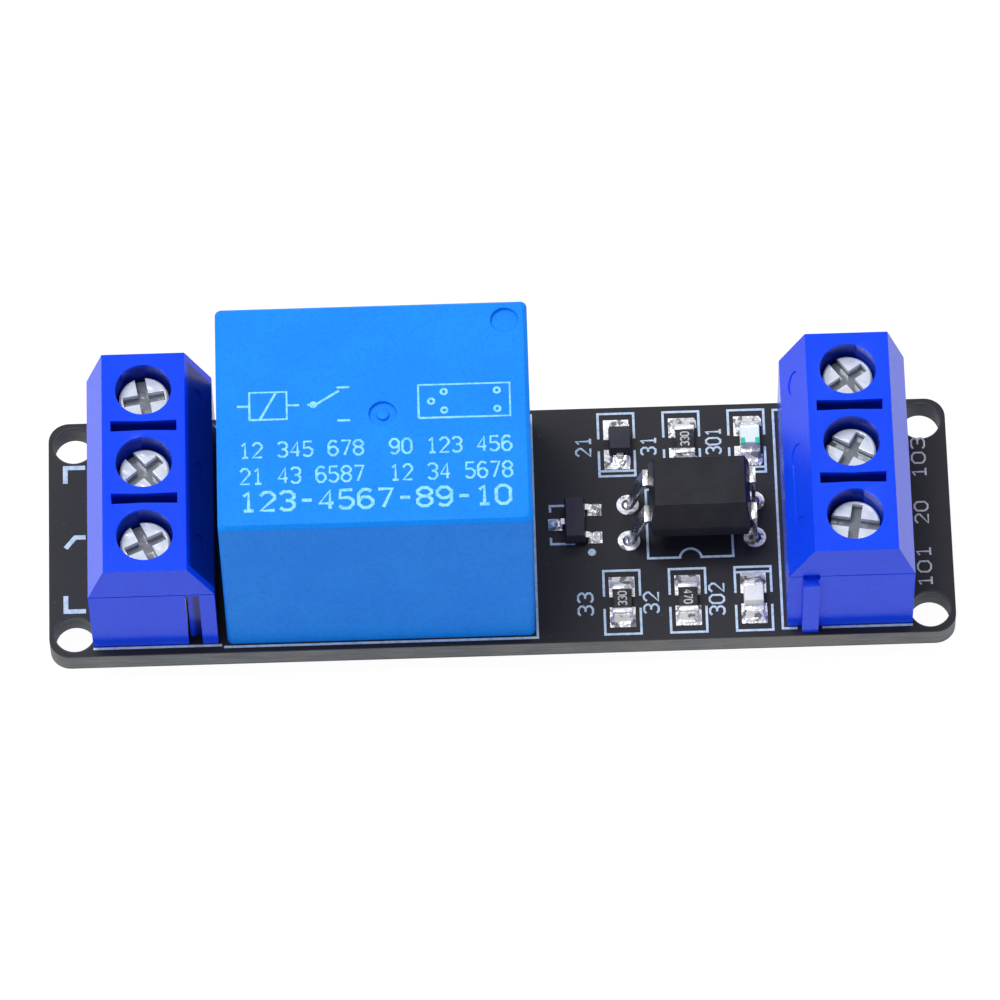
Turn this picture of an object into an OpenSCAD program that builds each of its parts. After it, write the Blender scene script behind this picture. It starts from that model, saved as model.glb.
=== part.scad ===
// Relay module: one sealed changeover relay and its driver stage on a circuit
// board, with a three-pole output terminal on the left and a three-pole input
// terminal on the right. Millimetres. X runs along the board, Y to its back,
// Z up. The origin is below the middle of the board, at the pins' tips.

/* [Circuit board] */
// Thickness of the board
board_t = 1.6; // [1.2:0.1:2.4]
// Strip of board left bare beside the relay's long sides
board_margin = 0.55; // [0.5:0.05:3]
// Strip of board left bare outside each terminal block
end_strip = 2.75; // [2.6:0.05:6]
// Length of board between the relay and the input terminal
parts_l = 15.66; // [15.5:0.05:22]
// Radius of the board's corners
board_corner = 1.3; // [0.2:0.1:1.5]
// Diameter of the mounting holes
hole_d = 2.5; // [1.5:0.1:2.8]
// Distance of each mounting hole's centre from both edges
hole_inset = 1.6; // [1.5:0.05:2]
// How far the longest pins reach below the board
pin_reach = 1.6; // [0.8:0.1:3]

/* [Terminal blocks] */
// Distance from one pole to the next
pole_pitch = 5.08; // [5:0.02:5.6]
// Depth of a block, from its inner side to its wire side
block_d = 7.8; // [7.4:0.1:10]
// Height of a block
block_h = 10; // [9.6:0.1:13]
// Height at which the slopes begin
slope_z = 6.65; // [5.8:0.05:7.4]
// Run of the slope on the inner side
inner_slope = 1.56; // [0.6:0.02:1.7]
// Run of the slope on the wire side
outer_slope = 1.1; // [0.6:0.02:1.3]
// Diameter of the screw wells
well_d = 3.5; // [3.3:0.05:4]
// Depth of the screws' heads below the top of the block
head_sunk = 1.2; // [0.8:0.1:1.6]
// Thickness of the ledge under the screws' heads
ledge_t = 0.5; // [0.3:0.05:0.8]
// Length of the slots between the wells
slot_l = 4.1; // [3:0.1:4.6]
// Width of the slots between the wells, at their ends
slot_w = 0.75; // [0.4:0.05:1.2]
// Depth of the slots between the wells
slot_depth = 1.6; // [0.5:0.1:2]
// Width of the dovetail tongue at its tip
tongue_w = 1.05; // [0.8:0.05:1.4]
// How far the dovetail tongue stands out
tongue_out = 0.45; // [0.3:0.05:0.5]
// Distance of the dovetail from the inner side
tongue_inset = 1.4; // [1.2:0.05:2]

/* [Terminal screws, cages and contacts] */
// Diameter of the screws' heads
head_d = 3.1; // [2.7:0.05:3.2]
// Height of the screws' heads
head_h = 1.2; // [0.9:0.1:1.5]
// Diameter of the screws' threads
thread_d = 2.4; // [1.8:0.1:2.4]
// Width of the cross recess in the heads
recess_w = 0.65; // [0.4:0.05:0.8]
// Rise of the clamping cage from open to closed
cage_travel = 1.8; // [0.8:0.1:1.8]
// Width of a clamping cage, across the wire
cage_w = 3.9; // [3.4:0.05:4]
// Length of a clamping cage, along the wire
cage_l = 4.6; // [3.6:0.1:4.8]
// Thickness of a cage's side and bottom walls
cage_wall = 0.5; // [0.4:0.05:0.6]
// Thickness of a cage's tapped wall
cage_top_t = 0.9; // [0.7:0.05:1]
// Height of the open wire space in a cage
wire_space = 2.5; // [1.6:0.1:2.6]
// Thickness of the contact bar that the wire is clamped to
bar_t = 0.6; // [0.4:0.05:0.7]
// Width of the contact bar
bar_w = 2.6; // [1.6:0.1:2.7]
// Width of a terminal's solder pin, across the board
terminal_pin_w = 1; // [0.7:0.05:1.1]
// Thickness of a terminal's solder pin
terminal_pin_t = 0.7; // [0.5:0.05:0.8]

/* [Relay] */
// Length of the relay
relay_l = 19.2; // [19:0.1:23]
// Width of the relay
relay_w = 15.4; // [15:0.1:19]
// Height of the relay
relay_h = 15.3; // [15:0.1:19]
// Gap between the relay and the output terminal
relay_gap = 0.54; // [0.4:0.02:3]
// Thickness of the cover's walls
cover_wall = 0.8; // [0.6:0.05:1]
// Size of the soft edges round the cover's top
cover_edge = 0.25; // [0.1:0.05:0.5]
// Diameter of the round recesses in the cover's top
dimple_d = 1.7; // [1:0.1:2.4]
// Depth of those recesses
dimple_depth = 0.25; // [0.1:0.05:0.4]
// Distance of the corner recess from the cover's sides
dimple_inset = 1.4; // [1.3:0.05:3]
// Diameter of the moulding nub in the middle recess
nub_d = 0.75; // [0.4:0.05:0.9]
// Thickness of the sealing resin under the relay
seal_t = 0.6; // [0.3:0.05:0.8]
// Thickness of the relay's base
base_t = 1.6; // [1:0.1:2]

/* [Relay works] */
// Height kept free above the yoke for the armature and contacts
contact_space = 3.4; // [3.2:0.05:4.5]
// Angle between the open armature and the pole
armature_angle = 2.5; // [1:0.1:2.6]
// Thickness of the armature
armature_t = 0.9; // [0.6:0.05:1]
// Thickness of the yoke
yoke_t = 1.1; // [0.8:0.05:1.3]
// Width of the yoke and armature
yoke_w = 8; // [6:0.1:9]
// Gap behind the yoke
yoke_room = 0.8; // [0.7:0.05:1.2]
// Outer diameter of the coil
coil_d = 9.4; // [8:0.1:9.6]
// Diameter of the iron core
core_d = 3.9; // [3:0.1:4.2]
// Diameter of the core's pole face
pole_d = 6.4; // [5:0.1:7]
// Thickness of the pole face
pole_t = 0.5; // [0.3:0.05:0.8]
// Wall of the bobbin's tube and flanges
bobbin_wall = 0.7; // [0.5:0.05:0.8]
// Thickness of the contact spring
spring_t = 0.15; // [0.1:0.01:0.2]
// Width of the contact spring
spring_w = 3; // [2:0.1:4]
// Diameter of the contact rivets
rivet_d = 1.7; // [1.2:0.1:2]
// Height of a rivet's head
rivet_h = 0.35; // [0.2:0.05:0.4]
// Thickness of the fixed contacts' strips
strip_t = 0.5; // [0.4:0.05:0.5]
// Width of the fixed contacts' strips
strip_w = 2; // [1.8:0.1:2.4]
// Distance of the contacts from the relay's end
contact_inset = 2.7; // [2.4:0.1:3]
// Distance of the coil's pins from the relay's end
coil_pin_inset = 4.2; // [4:0.1:4.6]
// Distance between the pins in a pair, across the relay
relay_pin_span = 12; // [11:0.1:12.4]
// Width of the flat relay pins
flat_pin_w = 1; // [0.8:0.05:1.1]
// Width of the square coil pins
coil_pin_w = 0.6; // [0.4:0.05:0.7]

/* [Chips] */
// Distance from one column of chips to the next
chip_pitch = 4.1; // [3.8:0.05:4.15]
// Distance of the last column from the input terminal
chip_edge = 2; // [1.8:0.05:2.2]
// Distance of the rows of chips from the board's long edges
row_inset = 2.67; // [2.65:0.01:2.8]
// Length of a chip
chip_l = 2; // [1.8:0.05:2.2]
// Width of a chip
chip_w = 1.25; // [1:0.05:1.4]
// Height of a resistor
resistor_h = 0.55; // [0.4:0.05:0.7]
// Length of a chip's tinned ends
cap_l = 0.35; // [0.2:0.05:0.45]
// Height of an LED's base
led_base_h = 0.35; // [0.25:0.05:0.5]
// Height of an LED's lens
led_lens_h = 0.45; // [0.3:0.05:0.6]
// Width of a chip's solder pads
pad_w = 1.6; // [1.4:0.05:1.8]
// Length of a chip's solder pads
pad_l = 1.4; // [1.2:0.05:1.5]
// Distance between the pads of a pair
pad_gap = 0.72; // [0.6:0.02:1]
// Length of the diode's body
diode_l = 1.7; // [1.5:0.05:1.9]
// Width of the diode's body
diode_w = 1.4; // [1.1:0.05:1.5]
// Height of the diode's body
diode_h = 0.95; // [0.7:0.05:1.1]

/* [Transistor] */
// Distance of the transistor's middle from the relay
transistor_gap = 2.68; // [2.6:0.02:2.75]
// Length of the transistor's body
transistor_l = 2.9; // [2.7:0.05:3]
// Width of the transistor's body
transistor_w = 1.3; // [1.2:0.05:1.35]
// Height of the transistor's body
transistor_h = 1; // [0.8:0.05:1.1]
// Distance between the two leads on one side
transistor_pitch = 1.95; // [1.8:0.05:2]
// Distance between the pads on either side
transistor_span = 2.47; // [2.3:0.01:2.5]

/* [Optocoupler] */
// Distance of the optocoupler's pads from the middle column of chips
opto_shift = 0.4; // [0.2:0.05:0.5]
// Distance between its two rows of pads
opto_row = 7.88; // [7.62:0.02:7.9]
// Distance between the pads in a row
opto_pitch = 2.54; // [2.4:0.02:2.6]
// Width of its body, between the rows
opto_w = 6.3; // [5.8:0.05:6.4]
// Length of its body, along the rows
opto_l = 4.65; // [4.4:0.05:4.8]
// Height of its body
opto_h = 3.6; // [3:0.1:4]
// Gap between its body and the board
opto_lift = 1.8; // [0.5:0.1:2]
// How far its body leans towards the input terminal
opto_lean = 0.5; // [0:0.05:0.5]
// How far its ends slope in above the leads
opto_end_slope = 0.65; // [0.2:0.05:0.8]
// How far its sides slope in above the leads
opto_side_slope = 0.3; // [0.1:0.05:0.4]
// Thickness of its leads
opto_lead_t = 0.25; // [0.2:0.01:0.3]
// Width of its leads at the body
opto_lead_w = 1.1; // [0.8:0.05:1.3]
// Width of its leads in the board
opto_pin_w = 0.5; // [0.4:0.05:0.55]
// How far its leads reach below the board
opto_reach = 1.1; // [0.4:0.05:1.6]

/* [Solder and print] */
// Thickness of the tinned pads
pad_t = 0.05; // [0.03:0.01:0.1]
// Height of the solder joints under the board
joint_h = 1; // [0.5:0.05:1.2]
// Solder beyond a pin's corner, under the board
joint_rim = 0.45; // [0.3:0.05:0.6]
// Clearance between a pin's corner and its hole
drill_clear = 0.1; // [0.05:0.01:0.2]
// Width of the tinned rings round the optocoupler's holes
ring_w = 0.32; // [0.2:0.02:0.4]
// Thickness of the printed lines
ink_t = 0.03; // [0.02:0.01:0.05]
// Width of the printed lines
ink_w = 0.15; // [0.1:0.01:0.2]
// Width of the lines of the contact symbols
symbol_w = 0.3; // [0.2:0.02:0.4]

/* [Hidden] */
POLES = 3;
SIDES = ["left", "right"];
$fn = 48;
eps = 0.01;

// Clearances
slide_clear = 0.1;     // between a cage and its chamber
turn_clear = 0.05;     // round a turning screw, and above its tip
seat_clear = 0.05;     // between parts that are set in a moulding
spring_room = 0.2;     // between the spring's tail and the yoke

// Board
block_l = POLES * pole_pitch;
board_l = 2 * (end_strip + block_d) + relay_gap + relay_l + parts_l;
board_w = max(relay_w, block_l) + 2 * board_margin;
hole_x = board_l / 2 - hole_inset;
hole_y = board_w / 2 - hole_inset;
board_z = pin_reach;
top_z = board_z + board_t;
pad_z = top_z + pad_t;
block_x = board_l / 2 - end_strip - block_d;     // inner side of either block
relay_x = -block_x + relay_gap + relay_l / 2;
relay_end_x = relay_x + relay_l / 2;

// Terminal block, with u from its inner side to its wire side
screw_u = inner_slope + (block_d - inner_slope - outer_slope) / 2;
chamber_w = cage_w + 2 * slide_clear;
chamber_l = cage_l + 2 * slide_clear;
head_z = block_h - head_sunk - head_h;           // underside of a head
cage_z = head_z - turn_clear - ledge_t - slide_clear
    - cage_travel - cage_top_t - seat_clear - bar_t - wire_space - cage_wall;
bar_z = cage_z + cage_wall + wire_space;         // underside of the bar
tap_z = bar_z + bar_t + seat_clear;              // underside of the tapped wall
cage_h = tap_z + cage_top_t - cage_z;
chamber_h = cage_z + cage_h + cage_travel + slide_clear;
bar_u = 0.65;                                    // inner end of the bar
pocket_u = bar_u - seat_clear;
bar_l = screw_u + cage_l / 2 - bar_u;
pin_u = bar_u + terminal_pin_t / 2;
entry_w = 3.4;
entry_flare = 0.25;
slot_waist = 0.15;                               // how much narrower a slot is in the middle
mark_d = 1.5;                                    // ejector marks on the inner slope
mark_depth = 0.06;
seam = 0.08;                                     // groove at the mould's parting line
screw_turns = [25, 40, 10, 80, 60, 35];          // where each head's recess came to rest

// Relay, with its own origin at the middle of its footprint, on the board
room_x = relay_l / 2 - cover_wall;
room_y = relay_w / 2 - cover_wall;
room_z = relay_h - cover_wall;
seal_z = 0.3;
base_z = seal_z + seal_t;
works_z = base_z + base_t;
yoke_x = room_x - yoke_room;                     // back face of the yoke
yoke_z = room_z - contact_space;                 // top of the yoke and pole face
coil_x = yoke_x - yoke_t - seat_clear - coil_d / 2 - 0.15;
contact_x = contact_inset - relay_l / 2;
bobbin_z = works_z + yoke_t;
flange_d = coil_d + 0.2;
tube_d = core_d + 2 * (bobbin_wall + seat_clear);
flange_top_z = yoke_z - pole_t;
common_x = yoke_x - yoke_t / 2;
coil_pin_x = relay_l / 2 - coil_pin_inset;
relay_pin_y = relay_pin_span / 2;
armature_z = yoke_z + seat_clear;
spring_z = armature_z + armature_t;
tail_x = yoke_x + spring_room;
tail_l = 3.5;
armature_l = yoke_x - coil_x + pole_d / 2 + 0.3;
contact_arm = yoke_x - contact_x;
closed_low = spring_z - rivet_h;                 // moving contact, armature closed
closed_high = spring_z + spring_t + rivet_h;
contact_clear = 0.05;
open_high = yoke_z + (closed_high - yoke_z) * cos(armature_angle)
    + (contact_arm + rivet_d / 2) * sin(armature_angle);
upper_z = open_high + contact_clear;             // face of the upper fixed contact
lower_z = closed_low - contact_clear;            // face of the lower fixed contact

// Chips: columns from the relay to the input terminal, rows at the back and front
column_x = [for (i = [0 : 2]) block_x - chip_edge - (2 - i) * chip_pitch];
row_y = board_w / 2 - row_inset;
frame_w = pad_w + 0.8;
frame_l = 2 * pad_l + pad_gap + 1.08;
pad_y = (pad_l + pad_gap) / 2;
chip_slip = 0.2;                                 // how far the back row sits off its pads
RESISTORS = [[column_x[1] + chip_slip, row_y], [column_x[1], -row_y], [column_x[0], -row_y]];
LEDS = [[column_x[2] + chip_slip, row_y], [column_x[2], -row_y]];
DIODE = [column_x[0] + chip_slip, row_y];
CHIP_PADS = [for (x = column_x, y = [row_y, -row_y]) [x, y]];
transistor_x = relay_end_x + transistor_gap;
TRANSISTOR_LEADS = [[-1, 0], [1, -1], [1, 1]];   // side, and place along the body
opto_x = column_x[1] + opto_shift;
opto_z = top_z + opto_lift;
opto_lead_z = opto_z + opto_h / 2 - 0.1;
lead_w = 0.4;
lead_t = 0.12;

// Where each pin goes through the board: x, y, and the pin's size along x and y
terminal_pins = [for (s = [-1, 1], i = [1 : POLES])
    [s * (block_x + pin_u), (i - (POLES + 1) / 2) * pole_pitch, terminal_pin_t, terminal_pin_w]];
relay_pins = concat(
    [[relay_x + common_x, 0, strip_t, flat_pin_w]],
    [for (s = [-1, 1]) [relay_x + coil_pin_x, s * relay_pin_y, coil_pin_w, coil_pin_w]],
    [for (s = [-1, 1]) [relay_x + contact_x, s * relay_pin_y, flat_pin_w, strip_t]]);
opto_pins = [for (s = [-1, 1], t = [-1, 1])
    [opto_x + s * opto_row / 2, t * opto_pitch / 2, opto_lead_t, opto_pin_w]];
all_pins = concat(terminal_pins, relay_pins, opto_pins);

function corner_r(pin) = norm([pin[2], pin[3]]) / 2;
function drill_r(pin) = corner_r(pin) + drill_clear;

// A bent strip of even thickness, as an outline round its centre line
function unit(v) = v / norm(v);
function side_of(p, i) =
    let (into = unit(i > 0 ? p[i] - p[i - 1] : p[1] - p[0]),
         out = unit(i < len(p) - 1 ? p[i + 1] - p[i] : p[i] - p[i - 1]),
         mid = unit(into + out))
    [-mid[1], mid[0]] / (mid * into);
function strip(p, t) = concat(
    [for (i = [0 : len(p) - 1]) p[i] + side_of(p, i) * t / 2],
    [for (i = [len(p) - 1 : -1 : 0]) p[i] - side_of(p, i) * t / 2]);

// An outline in X and Z, drawn out evenly to both sides along Y
module across_y(w) rotate([90, 0, 0]) linear_extrude(w, center = true) children();

// An outline in Y and Z, drawn out evenly to both sides along X
module across_x(w) rotate([90, 0, 90]) linear_extrude(w, center = true) children();

module box(size, at = [0, 0, 0]) {
    // A block centred in X and Y, standing on the height given
    translate([at[0] - size[0] / 2, at[1] - size[1] / 2, at[2]]) cube(size);
}

module rounded(l, w, r) {
    union() {
        square([l - 2 * r, w], center = true);
        square([l, w - 2 * r], center = true);
        for (x = [-1, 1], y = [-1, 1]) translate([x * (l / 2 - r), y * (w / 2 - r)]) circle(r);
    }
}

// ---- Board ----

module circuit_board() {
    color([0.13, 0.13, 0.14]) translate([0, 0, board_z]) difference() {
        linear_extrude(board_t) rounded(board_l, board_w, board_corner);
        for (x = [-1, 1], y = [-1, 1])
            translate([x * hole_x, y * hole_y, -board_t]) cylinder(h = 3 * board_t, d = hole_d);
        for (p = all_pins) translate([p[0], p[1], -board_t])
            cylinder(h = 3 * board_t, r = drill_r(p));
    }
}

module solder_pads() {
    color([0.8, 0.8, 0.82]) translate([0, 0, top_z]) {
        for (c = CHIP_PADS, s = [-1, 1]) box([pad_w, pad_l, pad_t], [c[0], c[1] + s * pad_y, 0]);
        for (t = TRANSISTOR_LEADS)
            box([0.9, 0.8, pad_t], [transistor_x + t[0] * transistor_span / 2,
                t[1] * transistor_pitch / 2, 0]);
        for (p = opto_pins) translate([p[0], p[1], 0]) linear_extrude(pad_t) difference() {
            circle(drill_r(p) + ring_w);
            circle(drill_r(p));
        }
    }
}

module fillet(w, l, h) {
    // Solder drawn up against an upright face at y = 0, hollow like a meniscus
    steps = 5;
    across_x(w) polygon(concat([[0, 0]],
        [for (i = [0 : steps]) [l * (1 - sin(90 * i / steps)), h * (1 - cos(90 * i / steps))]]));
}

module chip_solder() {
    color([0.85, 0.85, 0.87]) translate([0, 0, pad_z]) {
        for (c = concat(RESISTORS, LEDS), s = [0, 1])
            translate([c[0], c[1], 0]) rotate([0, 0, 180 * s]) translate([0, chip_l / 2, 0])
                fillet(chip_w, 0.55, 0.32);
        for (s = [0, 1])
            translate([DIODE[0], DIODE[1], 0]) rotate([0, 0, 180 * s])
                translate([0, diode_l / 2 + 0.35, 0]) fillet(lead_w + 0.3, 0.4, lead_t);
        for (t = TRANSISTOR_LEADS)
            translate([transistor_x, t[1] * transistor_pitch / 2, 0]) rotate([0, 0, -90 * t[0]])
                translate([0, transistor_span / 2 + 0.15, 0]) fillet(lead_w + 0.2, 0.28, lead_t);
    }
}

module pin_solder() {
    // Cones of solder that grip each pin under the board
    color([0.82, 0.82, 0.84]) for (p = all_pins) translate([p[0], p[1], board_z - joint_h])
        difference() {
            rotate_extrude() polygon([[0, 0], [corner_r(p) + 0.02, 0],
                [corner_r(p) + joint_rim * 0.35, joint_h * 0.55],
                [drill_r(p) + joint_rim, joint_h], [0, joint_h]]);
            box([p[2], p[3], joint_h + 2], [0, 0, -1]);
        }
}

module frame_print(bars) {
    // Outline of a chip's place, open at the middle of both sides. Bars names
    // the ends, -1 or 1, that carry a second line.
    side_break = 0.85;
    for (s = [-1, 1]) {
        translate([0, s * (frame_l - ink_w) / 2]) square([frame_w, ink_w], center = true);
        for (x = [-1, 1])
            translate([x * (frame_w - ink_w) / 2, s * (frame_l + side_break) / 4])
                square([ink_w, (frame_l - side_break) / 2], center = true);
    }
    for (s = bars)
        translate([0, s * (frame_l / 2 - ink_w - 0.28)]) square([frame_w, ink_w], center = true);
}

module line_print(points, w) {
    polygon(strip(points, w));
}

module contact_symbols() {
    // Changeover contact at the output terminal: two brackets and a lever
    x0 = -board_l / 2 + 1.05;
    x1 = -block_x - block_d - 0.45;
    line_print([[x1, pole_pitch], [x0, pole_pitch], [x0, pole_pitch - 1.1]], symbol_w);
    line_print([[x1, -pole_pitch], [x0, -pole_pitch], [x0, -pole_pitch + 1.1]], symbol_w);
    line_print([[x1, 0.13], [x0 + 0.6, 0.13], [x0, -0.62]], symbol_w);
}

module terminal_lines(outline_gap) {
    // Lines along a block's two short sides, broken where the tongue stands out
    line_y = block_l / 2 + outline_gap - ink_w;
    tongue_gap = 0.25;
    difference() {
        for (y = [-line_y - ink_w, line_y])
            translate([block_x - outline_gap, y]) square([block_d + outline_gap, ink_w]);
        translate([block_x + tongue_inset - tongue_w / 2 - tongue_gap, -block_l])
            square([tongue_w + 2 * tongue_gap, block_l]);
    }
}

module printed_lines() {
    outline_gap = 0.2;
    color([0.85, 0.92, 0.98]) translate([0, 0, top_z]) linear_extrude(ink_t) {
        for (x = [0 : 2], s = [-1, 1])
            translate([column_x[x], s * row_y])
                frame_print(s > 0 && x != 1 ? [-1] : s < 0 && x == 2 ? [1] : []);
        // Relay and terminal outlines
        for (s = [-1, 1]) translate([relay_x, s * (relay_w / 2 + outline_gap / 2 + ink_w / 2)])
            square([relay_l + 2 * outline_gap, ink_w], center = true);
        translate([relay_end_x + outline_gap - ink_w / 2, 0])
            square([ink_w, relay_w + 2 * outline_gap], center = true);
        translate([block_x - outline_gap - ink_w / 2, 0])
            square([ink_w, block_l + 2 * outline_gap], center = true);
        for (turn = [0, 180]) rotate([0, 0, turn]) terminal_lines(outline_gap);
        // Optocoupler outline with its notch
        translate([opto_x - 0.12, -0.12]) {
            notch_r = 0.68;
            half_w = 2.66;
            half_l = 2.43;
            for (s = [-1, 1]) {
                translate([s * half_w, 0]) square([ink_w, 2 * half_l], center = true);
                translate([s * (half_w + notch_r) / 2, -half_l])
                    square([half_w - notch_r + ink_w, ink_w], center = true);
            }
            translate([0, half_l]) square([2 * half_w + ink_w, ink_w], center = true);
            translate([0, -half_l - ink_w / 2]) intersection() {
                difference() {
                    circle(notch_r + ink_w / 2);
                    circle(notch_r - ink_w / 2);
                }
                translate([-2 * notch_r, 0]) square([4 * notch_r, 2 * notch_r]);
            }
        }
        // Transistor brackets and its first-pin dot
        translate([transistor_x, 0]) {
            bracket_x = -transistor_span / 2 - 0.3;
            bracket_y = transistor_l / 2 - 0.1;
            line_print([[bracket_x + 1, bracket_y], [bracket_x, bracket_y],
                [bracket_x, bracket_y - 0.45]], ink_w);
            line_print([[bracket_x + 1.5, -bracket_y], [bracket_x, -bracket_y],
                [bracket_x, -bracket_y + 0.45]], ink_w);
            translate([1, -bracket_y - 0.65]) circle(0.25);
        }
        contact_symbols();
    }
}

// ---- Terminal blocks ----

module at_block(side) {
    // The block's own axes: u along X from its inner side, on the board. The
    // left block is the right one turned half round.
    rotate([0, 0, side == "left" ? 180 : 0]) translate([block_x, 0, top_z]) children();
}

module at_pole(side, i) {
    turn = side == "left" ? -1 : 1;
    at_block(side) translate([screw_u, turn * (i - (POLES + 1) / 2) * pole_pitch, 0]) children();
}

module dovetail(tip, out) {
    // Outline of the tongue, or of the slot that takes one
    polygon([[-tip / 2 + 0.15, -0.2], [-tip / 2 + 0.15, 0], [-tip / 2, out],
        [tip / 2, out], [tip / 2 - 0.15, 0], [tip / 2 - 0.15, -0.2]]);
}

module pole_cuts() {
    // Well, chamber, bar pocket and wire entry of one pole, about its screw axis
    wall_u = block_d - screw_u;
    translate([0, 0, head_z - turn_clear]) cylinder(h = block_h, d = well_d);
    cylinder(h = block_h, d = thread_d + 4 * turn_clear);
    box([chamber_l, chamber_w, chamber_h + 1], [0, 0, -1]);
    pocket_l = screw_u - pocket_u;
    box([pocket_l, bar_w + 2 * seat_clear, bar_z + bar_t + 1 + seat_clear], [-pocket_l / 2, 0, -1]);
    entry_h = wire_space + cage_wall * 0.6;
    box([wall_u + 1, entry_w, entry_h], [(wall_u + 1) / 2, 0, bar_z - entry_h]);
    hull() {
        box([eps, entry_w, entry_h], [wall_u - 0.5, 0, bar_z - entry_h]);
        box([eps, entry_w + 2 * entry_flare, entry_h + 2 * entry_flare],
            [wall_u + eps, 0, bar_z - entry_h - entry_flare]);
    }
}

module housing(side) {
    slope_tilt = atan2(inner_slope, block_h - slope_z);
    tongue_h = slope_z - 0.45;
    color([0.12, 0.25, 0.95]) at_block(side) difference() {
        union() {
            across_y(block_l) polygon([[0, 0], [block_d, 0], [block_d, slope_z],
                [block_d - outer_slope, block_h], [inner_slope, block_h], [0, slope_z]]);
            translate([tongue_inset, -block_l / 2, 0]) rotate([0, 0, 180])
                linear_extrude(tongue_h) dovetail(tongue_w, tongue_out);
        }
        // Dovetail slot at the other end, and the dark pocket above the tongue
        translate([tongue_inset, block_l / 2, -1]) rotate([0, 0, 180])
            linear_extrude(slope_z + 1 - 0.15)
                dovetail(tongue_w + 2 * seat_clear, tongue_out + 2 * seat_clear);
        box([tongue_w, 2 * tongue_out, 0.6], [tongue_inset, -block_l / 2, tongue_h + 0.03]);
        for (s = [-1, 1])
            box([block_d + 2, seam, seam], [block_d / 2, s * block_l / 2, slope_z - seam / 2]);
        for (i = [1 : POLES]) {
            y = (i - (POLES + 1) / 2) * pole_pitch;
            translate([screw_u, y, 0]) pole_cuts();
            // Ejector mark on the inner slope
            translate([inner_slope / 2, y, (slope_z + block_h) / 2]) rotate([0, slope_tilt - 90, 0])
                translate([0, 0, -mark_depth]) cylinder(h = 1, d = mark_d);
        }
        for (i = [1 : POLES - 1])
            translate([screw_u, (i - POLES / 2) * pole_pitch, block_h - slot_depth])
                linear_extrude(slot_depth + 1) polygon([
                    [-slot_l / 2, -slot_w / 2], [0, -slot_w / 2 + slot_waist / 2],
                    [slot_l / 2, -slot_w / 2], [slot_l / 2, slot_w / 2],
                    [0, slot_w / 2 - slot_waist / 2], [-slot_l / 2, slot_w / 2]]);
    }
}

module screw(side, i) {
    recess_depth = 0.6;
    edge = 0.12;
    turn = screw_turns[i - 1 + (side == "left" ? 0 : POLES)];
    tip_z = tap_z - seat_clear + turn_clear;
    color([0.82, 0.83, 0.85]) at_pole(side, i) difference() {
        rotate_extrude() polygon([[0, tip_z], [thread_d / 2 - 0.2, tip_z], [thread_d / 2, tip_z + 0.2],
            [thread_d / 2, head_z], [head_d / 2, head_z], [head_d / 2, head_z + head_h - edge],
            [head_d / 2 - edge, head_z + head_h], [0, head_z + head_h]]);
        rotate([0, 0, turn]) {
            box([head_d - 0.5, recess_w, head_h], [0, 0, head_z + head_h - recess_depth]);
            box([recess_w, head_d + 1, head_h], [0, 0, head_z + head_h - recess_depth]);
        }
    }
}

module cage(side, i) {
    color([0.62, 0.62, 0.64]) at_pole(side, i) difference() {
        box([cage_l, cage_w, cage_h], [0, 0, cage_z]);
        box([cage_l + 2, cage_w - 2 * cage_wall, cage_h - cage_wall - cage_top_t],
            [0, 0, cage_z + cage_wall]);
        translate([0, 0, cage_z]) cylinder(h = cage_h + 1, r = thread_d / 2 + turn_clear);
    }
}

module contact_bars(side) {
    // The three plates that the wires are clamped against
    color([0.75, 0.72, 0.62]) for (i = [1 : POLES]) at_pole(side, i)
        box([bar_l, bar_w, bar_t], [bar_u + bar_l / 2 - screw_u, 0, bar_z]);
}

module contact_pins(side) {
    // Three solder pins, each carrying a plate
    tip = 0.25;
    color([0.78, 0.78, 0.8]) for (i = [1 : POLES]) at_pole(side, i)
        translate([pin_u - screw_u, 0, -top_z]) union() {
            box([terminal_pin_t, terminal_pin_w, top_z + bar_z - tip], [0, 0, tip]);
            box([terminal_pin_t - 0.2, terminal_pin_w - 0.2, tip], [0, 0, 0]);
        }
}

// ---- Relay ----

module at_relay() {
    translate([relay_x, 0, top_z]) children();
}

module relay_cover() {
    corner = 0.4;
    color([0.1, 0.5, 0.93]) at_relay() difference() {
        hull() {
            linear_extrude(relay_h - cover_edge) rounded(relay_l, relay_w, corner, $fn = 32);
            linear_extrude(relay_h)
                rounded(relay_l - 2 * cover_edge, relay_w - 2 * cover_edge, corner, $fn = 32);
        }
        box([2 * room_x, 2 * room_y, room_z + 1], [0, 0, -1]);
        translate([relay_l / 2 - dimple_inset, relay_w / 2 - dimple_inset, relay_h - dimple_depth])
            cylinder(h = 1, d = dimple_d);
        translate([0.6, 0, relay_h - dimple_depth]) difference() {
            cylinder(h = 1, d = dimple_d);
            cylinder(h = dimple_depth - 0.05, d = nub_d);
        }
    }
}

module pin_slots(clear, h) {
    // Clears every relay pin through a plate
    for (p = relay_pins)
        box([p[2] + 2 * clear, p[3] + 2 * clear, h], [p[0] - relay_x, p[1], -1]);
}

module relay_seal() {
    color([0.25, 0.25, 0.27]) at_relay() difference() {
        box([2 * room_x, 2 * room_y, seal_t], [0, 0, seal_z]);
        pin_slots(0, relay_h);
    }
}

module relay_base() {
    color([0.15, 0.15, 0.16]) at_relay() difference() {
        box([2 * (room_x - seat_clear), 2 * (room_y - seat_clear), base_t], [0, 0, base_z]);
        pin_slots(seat_clear, relay_h);
    }
}

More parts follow.
